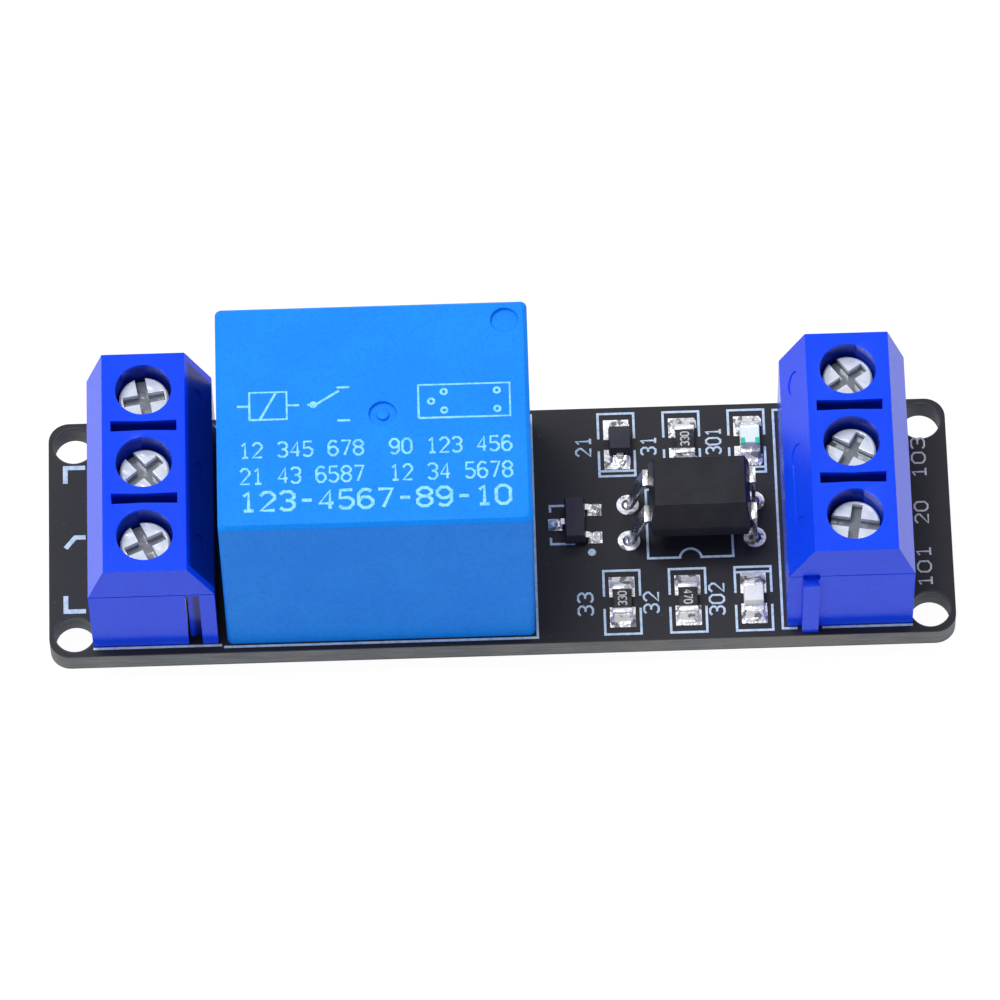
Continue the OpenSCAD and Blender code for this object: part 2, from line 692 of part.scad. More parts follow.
module relay_yoke() {
    // One bent plate: a foot under the bobbin and an upright behind the coil
    mid = yoke_t / 2;
    color([0.6, 0.6, 0.62]) at_relay() difference() {
        across_y(yoke_w) polygon(strip([[coil_x - core_d, works_z + mid],
            [yoke_x - mid, works_z + mid], [yoke_x - mid, yoke_z]], yoke_t));
        translate([coil_x, 0, works_z - 1]) cylinder(h = yoke_t + 2, d = core_d - 1);
    }
}

module relay_core() {
    // Riveted into the yoke's foot, with the pole face on top
    color([0.66, 0.66, 0.68]) at_relay() translate([coil_x, 0, 0]) rotate_extrude() polygon([
        [0, works_z + 0.1], [core_d / 2 - 0.5 - 0.02, works_z + 0.1],
        [core_d / 2 - 0.5 - 0.02, bobbin_z], [core_d / 2, bobbin_z],
        [core_d / 2, flange_top_z], [pole_d / 2, flange_top_z], [pole_d / 2, yoke_z], [0, yoke_z]]);
}

module relay_bobbin() {
    // Tube with two flanges; the lower one reaches out to hold the coil's pins
    ear_l = coil_pin_x + coil_pin_w - coil_x;
    ear_w = 2 * relay_pin_y - yoke_w + coil_pin_w + 0.5;
    color([0.9, 0.9, 0.86]) at_relay() difference() {
        union() {
            translate([coil_x, 0, bobbin_z]) cylinder(h = bobbin_wall, d = flange_d);
            translate([coil_x, 0, bobbin_z]) cylinder(h = flange_top_z - bobbin_z, d = tube_d);
            translate([coil_x, 0, flange_top_z - bobbin_wall]) cylinder(h = bobbin_wall, d = flange_d);
            for (s = [-1, 1])
                box([ear_l, ear_w / 2, bobbin_wall],
                    [coil_x + ear_l / 2, s * (relay_pin_y + coil_pin_w / 2 + 0.25 - ear_w / 4), bobbin_z]);
        }
        translate([coil_x, 0, 0]) cylinder(h = relay_h, d = core_d + 2 * seat_clear);
        pin_slots(0, relay_h);
    }
}

module relay_coil() {
    color([0.72, 0.4, 0.2]) at_relay()
        translate([coil_x, 0, bobbin_z + bobbin_wall + seat_clear]) difference() {
            h = flange_top_z - bobbin_z - 2 * (bobbin_wall + seat_clear);
            cylinder(h = h, d = coil_d);
            translate([0, 0, -1]) cylinder(h = h + 2, d = tube_d + 2 * seat_clear);
        }
}

module on_armature() {
    // Closed position, swung open about the yoke's top edge
    at_relay() translate([yoke_x, 0, yoke_z]) rotate([0, armature_angle, 0])
        translate([-yoke_x, 0, -yoke_z]) children();
}

module relay_armature() {
    color([0.64, 0.64, 0.66]) on_armature()
        box([armature_l, yoke_w, armature_t], [yoke_x - armature_l / 2, 0, armature_z]);
}

module relay_contact_spring() {
    mid_z = spring_z + spring_t / 2;
    color([0.8, 0.62, 0.35]) on_armature() difference() {
        across_y(spring_w) polygon(strip([[contact_x - rivet_d / 2 - 0.3, mid_z],
            [tail_x + spring_t / 2, mid_z], [tail_x + spring_t / 2, spring_z - tail_l]], spring_t));
        translate([contact_x, 0, spring_z - 1]) cylinder(h = 2, d = rivet_d / 2 + 0.04);
    }
}

module relay_moving_contact() {
    color([0.85, 0.85, 0.83]) on_armature() translate([contact_x, 0, 0]) rotate_extrude() polygon([
        [0, closed_low], [rivet_d / 2, closed_low], [rivet_d / 2, spring_z], [rivet_d / 4, spring_z],
        [rivet_d / 4, spring_z + spring_t], [rivet_d / 2, spring_z + spring_t],
        [rivet_d / 2, closed_high], [0, closed_high]]);
}

module fixed_terminal(side_y, face_z) {
    // Upright from its solder pin, then an arm across under or over the contact.
    // face_z is the middle of the arm's thickness.
    end_y = -side_y * rivet_d / 2 * 1.2;
    union() {
        translate([contact_x, 0, 0]) across_x(strip_w) polygon(strip(
            [[side_y * relay_pin_y, works_z], [side_y * relay_pin_y, face_z], [end_y, face_z]], strip_t));
        box([flat_pin_w, strip_t, top_z + works_z], [contact_x, side_y * relay_pin_y, -top_z]);
    }
}

module relay_open_terminal() {
    color([0.78, 0.6, 0.36]) at_relay() fixed_terminal(-1, lower_z - rivet_h - strip_t / 2);
}

module relay_closed_terminal() {
    color([0.78, 0.6, 0.36]) at_relay() fixed_terminal(1, upper_z + rivet_h + strip_t / 2);
}

module relay_fixed_contacts() {
    color([0.85, 0.85, 0.83]) at_relay() translate([contact_x, 0, 0]) {
        translate([0, 0, lower_z - rivet_h]) cylinder(h = rivet_h, d = rivet_d);
        translate([0, 0, upper_z]) cylinder(h = rivet_h, d = rivet_d);
    }
}

module relay_common_pin() {
    color([0.78, 0.78, 0.8]) at_relay()
        box([strip_t, flat_pin_w, top_z + works_z], [common_x, 0, -top_z]);
}

module relay_coil_pins() {
    color([0.78, 0.78, 0.8]) at_relay() for (s = [-1, 1])
        box([coil_pin_w, coil_pin_w, top_z + bobbin_z + bobbin_wall + 0.8],
            [coil_pin_x, s * relay_pin_y, -top_z]);
}

// ---- Chips ----

module at_chip(place) {
    translate([place[0], place[1], pad_z]) children();
}

module chip_ends(place, h) {
    color([0.83, 0.83, 0.85]) at_chip(place) for (s = [-1, 1])
        box([chip_w, cap_l, h], [0, s * (chip_l - cap_l) / 2, 0]);
}

module resistor(i) {
    glaze_in = 0.03;
    color([0.16, 0.16, 0.17]) at_chip(RESISTORS[i - 1])
        box([chip_w - 2 * glaze_in, chip_l - 2 * cap_l, resistor_h - glaze_in], [0, 0, 0]);
}

module led_base(i) {
    color([0.93, 0.93, 0.9]) at_chip(LEDS[i - 1])
        box([chip_w, chip_l - 2 * cap_l, led_base_h], [0, 0, 0]);
}

module led_lens(i) {
    // Clear block on the base, its ends leaning in
    low = chip_l / 2 - cap_l;
    high = low - 0.12;
    color([0.85, 0.95, 0.9]) at_chip(LEDS[i - 1]) across_x(chip_w - 0.06) polygon([
        [-low, led_base_h], [low, led_base_h], [high, led_base_h + led_lens_h],
        [-high, led_base_h + led_lens_h]]);
}

module diode_body() {
    color([0.14, 0.14, 0.15]) at_chip(DIODE) hull() {
        box([diode_w - 0.1, diode_l - 0.1, eps], [0, 0, 0.05]);
        box([diode_w, diode_l, eps], [0, 0, diode_h / 2]);
        box([diode_w - 0.16, diode_l - 0.16, eps], [0, 0, diode_h + 0.05 - eps]);
    }
}

module gull_lead(foot, heel, top) {
    // Outline of a lead that leaves the body at height top and stands on its foot
    polygon(strip([[heel, top], [heel + 0.18, top], [heel + 0.24, lead_t / 2], [foot, lead_t / 2]],
        lead_t));
}

module diode_leads() {
    color([0.8, 0.8, 0.82]) at_chip(DIODE) for (s = [0, 1]) rotate([0, 0, 180 * s])
        across_x(lead_w) gull_lead(diode_l / 2 + 0.35, diode_l / 2, diode_h / 2 - 0.05);
}

module transistor_body() {
    color([0.14, 0.14, 0.15]) translate([transistor_x, 0, pad_z]) hull() {
        box([transistor_w - 0.1, transistor_l - 0.1, eps], [0, 0, 0.08]);
        box([transistor_w, transistor_l, eps], [0, 0, transistor_h / 2]);
        box([transistor_w - 0.2, transistor_l - 0.2, eps], [0, 0, transistor_h + 0.05]);
    }
}

module transistor_leads() {
    color([0.8, 0.8, 0.82]) translate([transistor_x, 0, pad_z]) for (t = TRANSISTOR_LEADS)
        translate([0, t[1] * transistor_pitch / 2, 0]) rotate([0, 0, t[0] > 0 ? 0 : 180])
            across_y(lead_w) gull_lead(transistor_span / 2 + 0.15, transistor_w / 2,
                transistor_h / 2 - 0.1);
}

// ---- Optocoupler ----

module optocoupler_body() {
    waist = opto_lead_z - opto_z;
    color([0.13, 0.13, 0.14]) translate([opto_x + opto_lean, 0, opto_z]) hull() {
        box([opto_w - opto_side_slope, opto_l - opto_end_slope, eps], [0, 0, 0]);
        box([opto_w, opto_l, eps], [0, 0, waist]);
        box([opto_w - 2 * opto_side_slope, opto_l - 2 * opto_end_slope, eps], [0, 0, opto_h - eps]);
    }
}

module opto_lead(s) {
    // Wide above the board and narrow through it. s is -1 on the relay's side.
    body_x = opto_x + opto_lean + s * opto_w / 2;
    pad_x = opto_x + s * opto_row / 2;
    shoulder_x = body_x + s * 0.25;
    step_z = top_z + 0.9;
    neck_x = pad_x + (shoulder_x - pad_x) * (step_z - top_z) / (opto_lead_z - top_z);
    across_y(opto_lead_w) polygon(strip(
        [[body_x, opto_lead_z], [shoulder_x, opto_lead_z], [neck_x, step_z]], opto_lead_t));
    across_y(opto_pin_w) polygon(strip(
        [[neck_x + (shoulder_x - neck_x) * 0.1, step_z + (opto_lead_z - step_z) * 0.1],
         [pad_x, top_z], [pad_x, board_z - opto_reach]], opto_lead_t));
}

module optocoupler_leads() {
    color([0.8, 0.8, 0.82]) for (s = [-1, 1], t = [-1, 1])
        translate([0, t * opto_pitch / 2, 0]) union() opto_lead(s);
}

// ---- Selection ----

circuit_board();
printed_lines();
solder_pads();
chip_solder();
pin_solder();
for (side = SIDES) {
    housing(side);
    contact_bars(side);
    contact_pins(side);
    for (i = [1 : POLES]) {
        screw(side, i);
        cage(side, i);
    }
}
relay_cover();
relay_seal();
relay_base();
relay_bobbin();
relay_coil();
relay_core();
relay_yoke();
relay_armature();
relay_contact_spring();
relay_moving_contact();
relay_open_terminal();
relay_closed_terminal();
relay_fixed_contacts();
relay_common_pin();
relay_coil_pins();
optocoupler_body();
optocoupler_leads();
transistor_body();
transistor_leads();
diode_body();
diode_leads();
for (i = [1 : 3]) {
    resistor(i);
    chip_ends(RESISTORS[i - 1], resistor_h);
}
for (i = [1 : 2]) {
    led_base(i);
    led_lens(i);
    chip_ends(LEDS[i - 1], led_base_h);
}
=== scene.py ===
"""Relay module board: the looks of every piece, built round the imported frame.

Each sub-assembly is a class with its sizes as fields, each finish is a small
frozen class, and main() builds them in order. Sizes are in metres, written as
a number of millimetres times MM, and places come from the frame's own boxes.
"""

import logging
import math
from dataclasses import dataclass
from enum import Enum
from typing import Callable, Iterable, Sequence

import bmesh
import bpy
from mathutils import Matrix, Vector, noise


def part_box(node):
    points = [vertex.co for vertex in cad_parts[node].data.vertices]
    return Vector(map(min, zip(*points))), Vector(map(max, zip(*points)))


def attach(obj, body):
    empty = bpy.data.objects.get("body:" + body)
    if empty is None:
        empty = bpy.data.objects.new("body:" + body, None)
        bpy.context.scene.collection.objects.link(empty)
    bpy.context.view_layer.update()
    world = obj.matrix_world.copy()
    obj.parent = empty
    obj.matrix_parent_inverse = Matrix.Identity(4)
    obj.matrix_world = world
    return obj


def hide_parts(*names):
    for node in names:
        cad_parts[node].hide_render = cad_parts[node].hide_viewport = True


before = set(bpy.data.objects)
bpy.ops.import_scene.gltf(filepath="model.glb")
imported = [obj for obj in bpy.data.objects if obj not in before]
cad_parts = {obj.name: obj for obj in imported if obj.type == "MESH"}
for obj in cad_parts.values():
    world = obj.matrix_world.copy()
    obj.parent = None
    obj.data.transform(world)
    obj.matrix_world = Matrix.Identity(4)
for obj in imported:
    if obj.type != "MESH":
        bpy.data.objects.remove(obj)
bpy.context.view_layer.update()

MM = 0.001
BOARD_BODY = "board"
ARMATURE_BODY = "armature"
POLES = 3
FLAT_AREA = 2.0 * MM * MM
CREASE = math.radians(28.0)

Colour = tuple[float, float, float]
Operand = "Value | float"

log = logging.getLogger("relay_module")


# ---------------------------------------------------------------------------
# Node trees written as expressions
# ---------------------------------------------------------------------------

class Value:
    """An output socket of a node tree that can be used in Python expressions."""

    def __init__(self, graph: "Graph", socket: bpy.types.NodeSocket) -> None:
        """Wraps a socket.

        Args:
            graph: The graph that the socket's node is in.
            socket: The output socket.
        """
        self.graph = graph
        self.socket = socket

    def maths(self, operation: str, *operands: Operand) -> "Value":
        """Adds a Math node.

        Args:
            operation: The Math node's operation.
            operands: Its inputs, in order.

        Returns:
            The node's result.
        """
        return self.graph.add("ShaderNodeMath", {"operation": operation}, dict(enumerate(operands)))

    def __add__(self, other: Operand) -> "Value":
        """Adds two values."""
        return self.maths("ADD", self, other)

    def __radd__(self, other: Operand) -> "Value":
        """Adds a value to a number."""
        return self.maths("ADD", other, self)

    def __sub__(self, other: Operand) -> "Value":
        """Takes a value away."""
        return self.maths("SUBTRACT", self, other)

    def __rsub__(self, other: Operand) -> "Value":
        """Takes this value away from a number."""
        return self.maths("SUBTRACT", other, self)

    def __mul__(self, other: Operand) -> "Value":
        """Multiplies two values."""
        return self.maths("MULTIPLY", self, other)

    def __rmul__(self, other: Operand) -> "Value":
        """Multiplies a number by this value."""
        return self.maths("MULTIPLY", other, self)

    def __truediv__(self, other: Operand) -> "Value":
        """Divides by a value."""
        return self.maths("DIVIDE", self, other)

    def __pow__(self, other: Operand) -> "Value":
        """Raises to a power."""
        return self.maths("POWER", self, other)

    def __abs__(self) -> "Value":
        """Gives the absolute value."""
        return self.maths("ABSOLUTE", self)

    def least(self, other: Operand) -> "Value":
        """Gives the smaller of two values."""
        return self.maths("MINIMUM", self, other)

    def most(self, other: Operand) -> "Value":
        """Gives the larger of two values."""
        return self.maths("MAXIMUM", self, other)

    def ramp(self, start: float, end: float) -> "Value":
        """Rises smoothly from 0 at start to 1 at end.

        Args:
            start: The value at which the result leaves 0.
            end: The value at which it reaches 1, which may be the smaller one.

        Returns:
            The smooth step.
        """
        low, high, first, last = (start, end, 0.0, 1.0) if start < end else (end, start, 1.0, 0.0)
        return self.graph.add("ShaderNodeMapRange", {"interpolation_type": "SMOOTHSTEP"}, {
            "Value": self, "From Min": low, "From Max": high, "To Min": first, "To Max": last})


class Graph:
    """Builds a shader or geometry node tree, one call for each node."""

    def __init__(self, tree: bpy.types.NodeTree) -> None:
        """Starts on a tree and empties it.

        Args:
            tree: The tree to fill.
        """
        self.tree = tree
        tree.nodes.clear()

    def add(self, kind: str, settings: dict | None = None, inputs: dict | None = None,
            output: int | str = 0) -> Value:
        """Adds one node.

        Args:
            kind: The node's type name.
            settings: Its properties. "stops" holds a ramp's positions and colours.
            inputs: Values or links, by the socket's name or place among those in use.
            output: The output that is wanted, by name or place.

        Returns:
            The wanted output.
        """
        node = self.tree.nodes.new(kind)
        for key, setting in (settings or {}).items():
            if key == "stops":
                self._set_stops(node.color_ramp, setting)
            else:
                setattr(node, key, setting)
        for key, value in (inputs or {}).items():
            self._feed(self._pick(node.inputs, key), value)
        return Value(self, self._pick(node.outputs, output))

    @staticmethod
    def _set_stops(ramp: bpy.types.ColorRamp, stops: Sequence[tuple[float, Colour]]) -> None:
        """Gives a colour ramp its stops."""
        while len(ramp.elements) < len(stops):
            ramp.elements.new(1.0)
        for element, (position, colour) in zip(ramp.elements, stops):
            element.position = position
            element.color = (*colour, 1.0)

    @staticmethod
    def _pick(sockets: bpy.types.bpy_prop_collection, key: int | str) -> bpy.types.NodeSocket:
        """Finds a socket that is in use, by its name or its place."""
        live = [s for s in sockets if s.enabled]
        return live[key] if isinstance(key, int) else next(s for s in live if s.name == key)

    def _feed(self, socket: bpy.types.NodeSocket, value: object) -> None:
        """Links a value to a socket, or sets the socket's own value."""
        if isinstance(value, Value):
            self.tree.links.new(value.socket, socket)
        elif isinstance(value, (tuple, Vector)) and socket.type == "RGBA" and len(value) == 3:
            socket.default_value = (*value, 1.0)
        else:
            socket.default_value = value

    def vector(self, operation: str, *operands: object, output: int | str = 0) -> Value:
        """Adds a Vector Math node and gives one of its results."""
        names = dict(enumerate(operands))
        return self.add("ShaderNodeVectorMath", {"operation": operation}, names, output)

    def mix(self, factor: Operand, first: object, second: object) -> Value:
        """Mixes two colours by a factor."""
        return self.add("ShaderNodeMix", {"data_type": "RGBA"},
                        {"Factor": factor, "A": first, "B": second})

    def combine(self, x: Operand, y: Operand, z: Operand) -> Value:
        """Joins three values into a vector."""
        return self.add("ShaderNodeCombineXYZ", None, {"X": x, "Y": y, "Z": z})

    def split(self, vector: Value) -> tuple[Value, Value, Value]:
        """Splits a vector into its three values."""
        node = self.add("ShaderNodeSeparateXYZ", None, {"Vector": vector}).socket.node
        return tuple(Value(self, socket) for socket in node.outputs)


class Surface(Graph):
    """A material's node tree, with the patterns that its finishes share."""

    def __init__(self, name: str) -> None:
        """Makes a new material.

        Args:
            name: The material's name.
        """
        self.material = bpy.data.materials.new(name)
        self.material.use_nodes = True
        super().__init__(self.material.node_tree)
        place = self.add("ShaderNodeTexCoord", output="Object")
        self.place = self.vector("MULTIPLY", place, (1 / MM, 1 / MM, 1 / MM))

    def cloud(self, per_mm: float, detail: float = 2.0, stretch: Colour = (1.0, 1.0, 1.0),
              shift: float = 0.0) -> Value:
        """Gives smooth noise from 0 to 1.

        Args:
            per_mm: How many times it varies in a millimetre.
            detail: How many finer layers it has.
            stretch: How much denser it is along each axis.
            shift: Moves the pattern, so that two noises differ.

        Returns:
            The noise's value.
        """
        place = self.vector("MULTIPLY_ADD", self.place, stretch, (shift, shift, shift))
        return self.add("ShaderNodeTexNoise", None,
                        {"Vector": place, "Scale": per_mm, "Detail": detail, "Roughness": 0.55})

    def bump(self, height: Value, depth: float, under: Value | None = None) -> Value:
        """Turns a height from 0 to 1 into a normal.

        Args:
            height: The relief.
            depth: How deep it is, in metres.
            under: A normal that it is laid over.

        Returns:
            The new normal.
        """
        inputs = {"Strength": 1.0, "Distance": depth, "Height": height}
        if under is not None:
            inputs["Normal"] = under
        return self.add("ShaderNodeBump", None, inputs)

    def close(self, **sockets: object) -> bpy.types.Material:
        """Adds the Principled shader and the output.

        Args:
            sockets: The shader's inputs, with underscores for spaces.

        Returns:
            The finished material.
        """
        named = {key.replace("_", " "): value for key, value in sockets.items()}
        shader = self.add("ShaderNodeBsdfPrincipled", None, named)
        self.add_output(shader)
        return self.material

    def add_output(self, shader: Value) -> None:
        """Links a shader to the material's output."""
        node = self.tree.nodes.new("ShaderNodeOutputMaterial")
        self.tree.links.new(shader.socket, node.inputs["Surface"])


# ---------------------------------------------------------------------------
# Finishes
# ---------------------------------------------------------------------------

@dataclass(frozen=True)
class Moulding:
    """Moulded plastic with a fine grain and soft differences in tone."""

    name: str
    colour: Colour
    tint: Colour
    roughness: float = 0.4
    grain_depth: float = 0.006 * MM
    grain_per_mm: float = 9.0
    flow_per_mm: float = 0.28
    sheen: float = 0.15

    def shade(self, s: Surface) -> Value | float:
        """Says how far painted shade darkens the plastic, from 0 to 1."""
        return 0.0

    def build(self) -> bpy.types.Material:
        """Makes the material."""
        s = Surface(self.name)
        flow = s.cloud(self.flow_per_mm, 3.0).ramp(0.3, 0.7)
        grain = s.cloud(self.grain_per_mm, 2.0, shift=7.0)
        toned = s.mix(flow * 0.6, self.colour, self.tint)
        dark = tuple(c * 0.72 for c in self.tint)
        toned = s.mix(grain.ramp(0.45, 0.7) * 0.5, toned, dark)
        # Colour of the painted shade, mixed in as far as shade() says
        painted_shade = tuple(c * 0.2 for c in self.tint)
        return s.close(
            Base_Color=s.mix(self.shade(s), toned, painted_shade),
            Roughness=grain * 0.16 + (self.roughness - 0.08),
            Specular_IOR_Level=self.sheen,
            Normal=s.bump(grain, self.grain_depth),
        )


@dataclass(frozen=True)
class HousingPlastic(Moulding):
    """Terminal plastic, with painted shade down in the screw wells and slots and a painted shadow of the
    tall relay on the inner slope.
    """

    centre_x: float = 0.0
    half_x: float = 1.0
    half_y: float = 1.0
    top: float = 1.0
    painted_shadow_x: float = 1.0
    painted_shadow_strength: float = 0.0

    def shade(self, s: Surface) -> Value | float:
        """Gives the painted shade: 1 inside the wells and slots, and part of it as a painted shadow of the
        relay on the inner slope.
        """
        x, y, z = s.split(s.place)
        rows = abs(y).ramp(self.half_y / MM + 0.1, self.half_y / MM)
        # Painted shade down in the screw wells and the slots between them
        inside = abs(x - self.centre_x / MM).ramp(self.half_x / MM + 0.05, self.half_x / MM)
        inside = inside * rows * z.ramp(self.top / MM - 0.06, self.top / MM - 0.5) * 0.8
        # Painted shadow of the relay on the slope beside it
        painted_shadow = x.ramp(self.painted_shadow_x / MM - 0.02, self.painted_shadow_x / MM + 0.3) * rows * self.painted_shadow_strength
        return inside.most(painted_shadow)


@dataclass(frozen=True)
class BoardMask:
    """Black solder mask over fibreglass, which shows on the edges and in the holes."""

    name: str
    mask: Colour
    fibre: Colour
    warm: Colour
    thickness: float
    underside: float
    hole_x: float
    hole_y: float
    hole_r: float
    rim: float = 0.09 * MM
    roughness: float = 0.46

    def build(self) -> bpy.types.Material:
        """Makes the material."""
        s = Surface(self.name)
        x, y, z = s.split(s.place)
        facing = s.split(s.add("ShaderNodeTexCoord", output="Normal"))[2]
        edge = abs(facing).ramp(0.7, 0.4)
        # Bare ring round each mounting hole, where the mask stops short
        off_x = abs(x) - self.hole_x / MM
        off_y = abs(y) - self.hole_y / MM
        away = (off_x * off_x + off_y * off_y) ** 0.5
        ring = away.ramp((self.hole_r + self.rim) / MM + 0.03, (self.hole_r + self.rim) / MM - 0.03)
        bare = edge.most(ring)
        # Layers of glass cloth in the edge, with a dark line of mask along its top
        strands = s.cloud(1.1, 4.0, stretch=(0.35, 0.35, 9.0))
        flecks = s.cloud(5.0, 3.0, stretch=(1.0, 1.0, 2.0), shift=3.0)
        patches = s.cloud(0.16, 2.0, shift=11.0)
        cloth = s.mix(strands.ramp(0.35, 0.7), tuple(c * 0.62 for c in self.fibre), self.fibre)
        cloth = s.mix(patches.ramp(0.48, 0.62) * 0.6, cloth, self.warm)
        cloth = s.mix(flecks.ramp(0.62, 0.74) * 0.5, cloth, tuple(min(1.0, c * 1.9) for c in self.fibre))
        height = (z - self.underside / MM) / (self.thickness / MM)
        lip = height.ramp(0.9, 0.97).most(height.ramp(0.07, 0.02))
        cloth = s.mix(lip * 0.8, s.mix(0.25, cloth, self.mask), self.mask)
        # The mask itself, with fine orange peel and a few dust specks
        peel = s.cloud(2.2, 2.0, shift=5.0)
        dust = s.cloud(6.5, 1.0, shift=20.0).ramp(0.74, 0.8)
        mask = s.mix(s.cloud(0.25, 2.0, shift=2.0), self.mask, tuple(c * 1.35 for c in self.mask))
        mask = s.mix(dust * 0.35, mask, (0.16, 0.17, 0.2))
        relief = s.mix(bare, peel * 0.4, strands)
        return s.close(
            Base_Color=s.mix(bare, mask, cloth),
            Roughness=peel * 0.1 + bare * 0.2 + (self.roughness - 0.05),
            Specular_IOR_Level=0.24,
            Normal=s.bump(relief, 0.012 * MM),
        )


@dataclass(frozen=True)
class Ink:
    """Printed ink, a little worn and uneven."""

    name: str
    colour: Colour
    thin: Colour
    roughness: float = 0.5

    def build(self) -> bpy.types.Material:
        """Makes the material."""
        s = Surface(self.name)
        wear = s.cloud(3.5, 3.0).ramp(0.42, 0.66)
        return s.close(
            Base_Color=s.mix(wear * 0.7, self.colour, self.thin),
            Roughness=wear * 0.15 + self.roughness,
            Specular_IOR_Level=0.2,
            Normal=s.bump(s.cloud(8.0), 0.004 * MM),
        )


@dataclass(frozen=True)
class Plating:
    """Bare or plated metal: tone, roughness and small dents vary over it; dark blotches are painted
    reflections, and painted shade can darken it low in a recess.
    """

    name: str
    colour: Colour
    dull: Colour
    roughness: float = 0.25
    spread: float = 0.15
    dent_depth: float = 0.01 * MM
    dent_per_mm: float = 1.6
    scratch: Colour = (1.0, 1.0, 1.0)
    painted_reflection_blotch: float = 0.0
    painted_shade_z: float = -1.0
    metallic: float = 1.0

    def build(self) -> bpy.types.Material:
        """Makes the material."""
        s = Surface(self.name)
        stain = s.cloud(0.9, 3.0).ramp(0.4, 0.72)
        fine = s.cloud(7.0, 3.0, stretch=self.scratch, shift=4.0)
        dents = s.cloud(self.dent_per_mm, 1.5, shift=9.0)
        # Dark blotches painted in for the dark reflections in shiny tin and solder
        spots = s.cloud(1.5, 2.0, shift=14.0).ramp(0.53, 0.6) * self.painted_reflection_blotch
        height = s.split(s.place)[2]
        # Painted shade below a given height, down in a screw's recess
        painted_shade = height.ramp(self.painted_shade_z / MM, self.painted_shade_z / MM - 0.25) * 0.8
        toned = s.mix(stain * 0.7, self.colour, self.dull)
        return s.close(
            Base_Color=s.mix(spots.most(painted_shade), toned, tuple(c * 0.12 for c in self.dull)),
            Metallic=self.metallic,
            Roughness=fine * self.spread + stain * 0.08 + (self.roughness - self.spread / 2),
            Normal=s.bump(fine, self.dent_depth * 0.12, s.bump(dents, self.dent_depth)),
        )


@dataclass(frozen=True)
class Lacquer:
    """A coloured skin over metal or ceramic, glossy and slightly clouded."""

    name: str
    colour: Colour
    shade: Colour
    roughness: float = 0.2
    metallic: float = 0.0
    coat: float = 0.4

    def build(self) -> bpy.types.Material:
        """Makes the material."""
        s = Surface(self.name)
        cloudy = s.cloud(1.8, 3.0).ramp(0.35, 0.7)
        return s.close(
            Base_Color=s.mix(cloudy, self.colour, self.shade),
            Metallic=self.metallic,
            Roughness=cloudy * 0.12 + self.roughness,
            Coat_Weight=self.coat,
            Coat_Roughness=0.12,
            Specular_IOR_Level=0.25,
            Normal=s.bump(s.cloud(4.0, 2.0, shift=6.0), 0.006 * MM),
        )


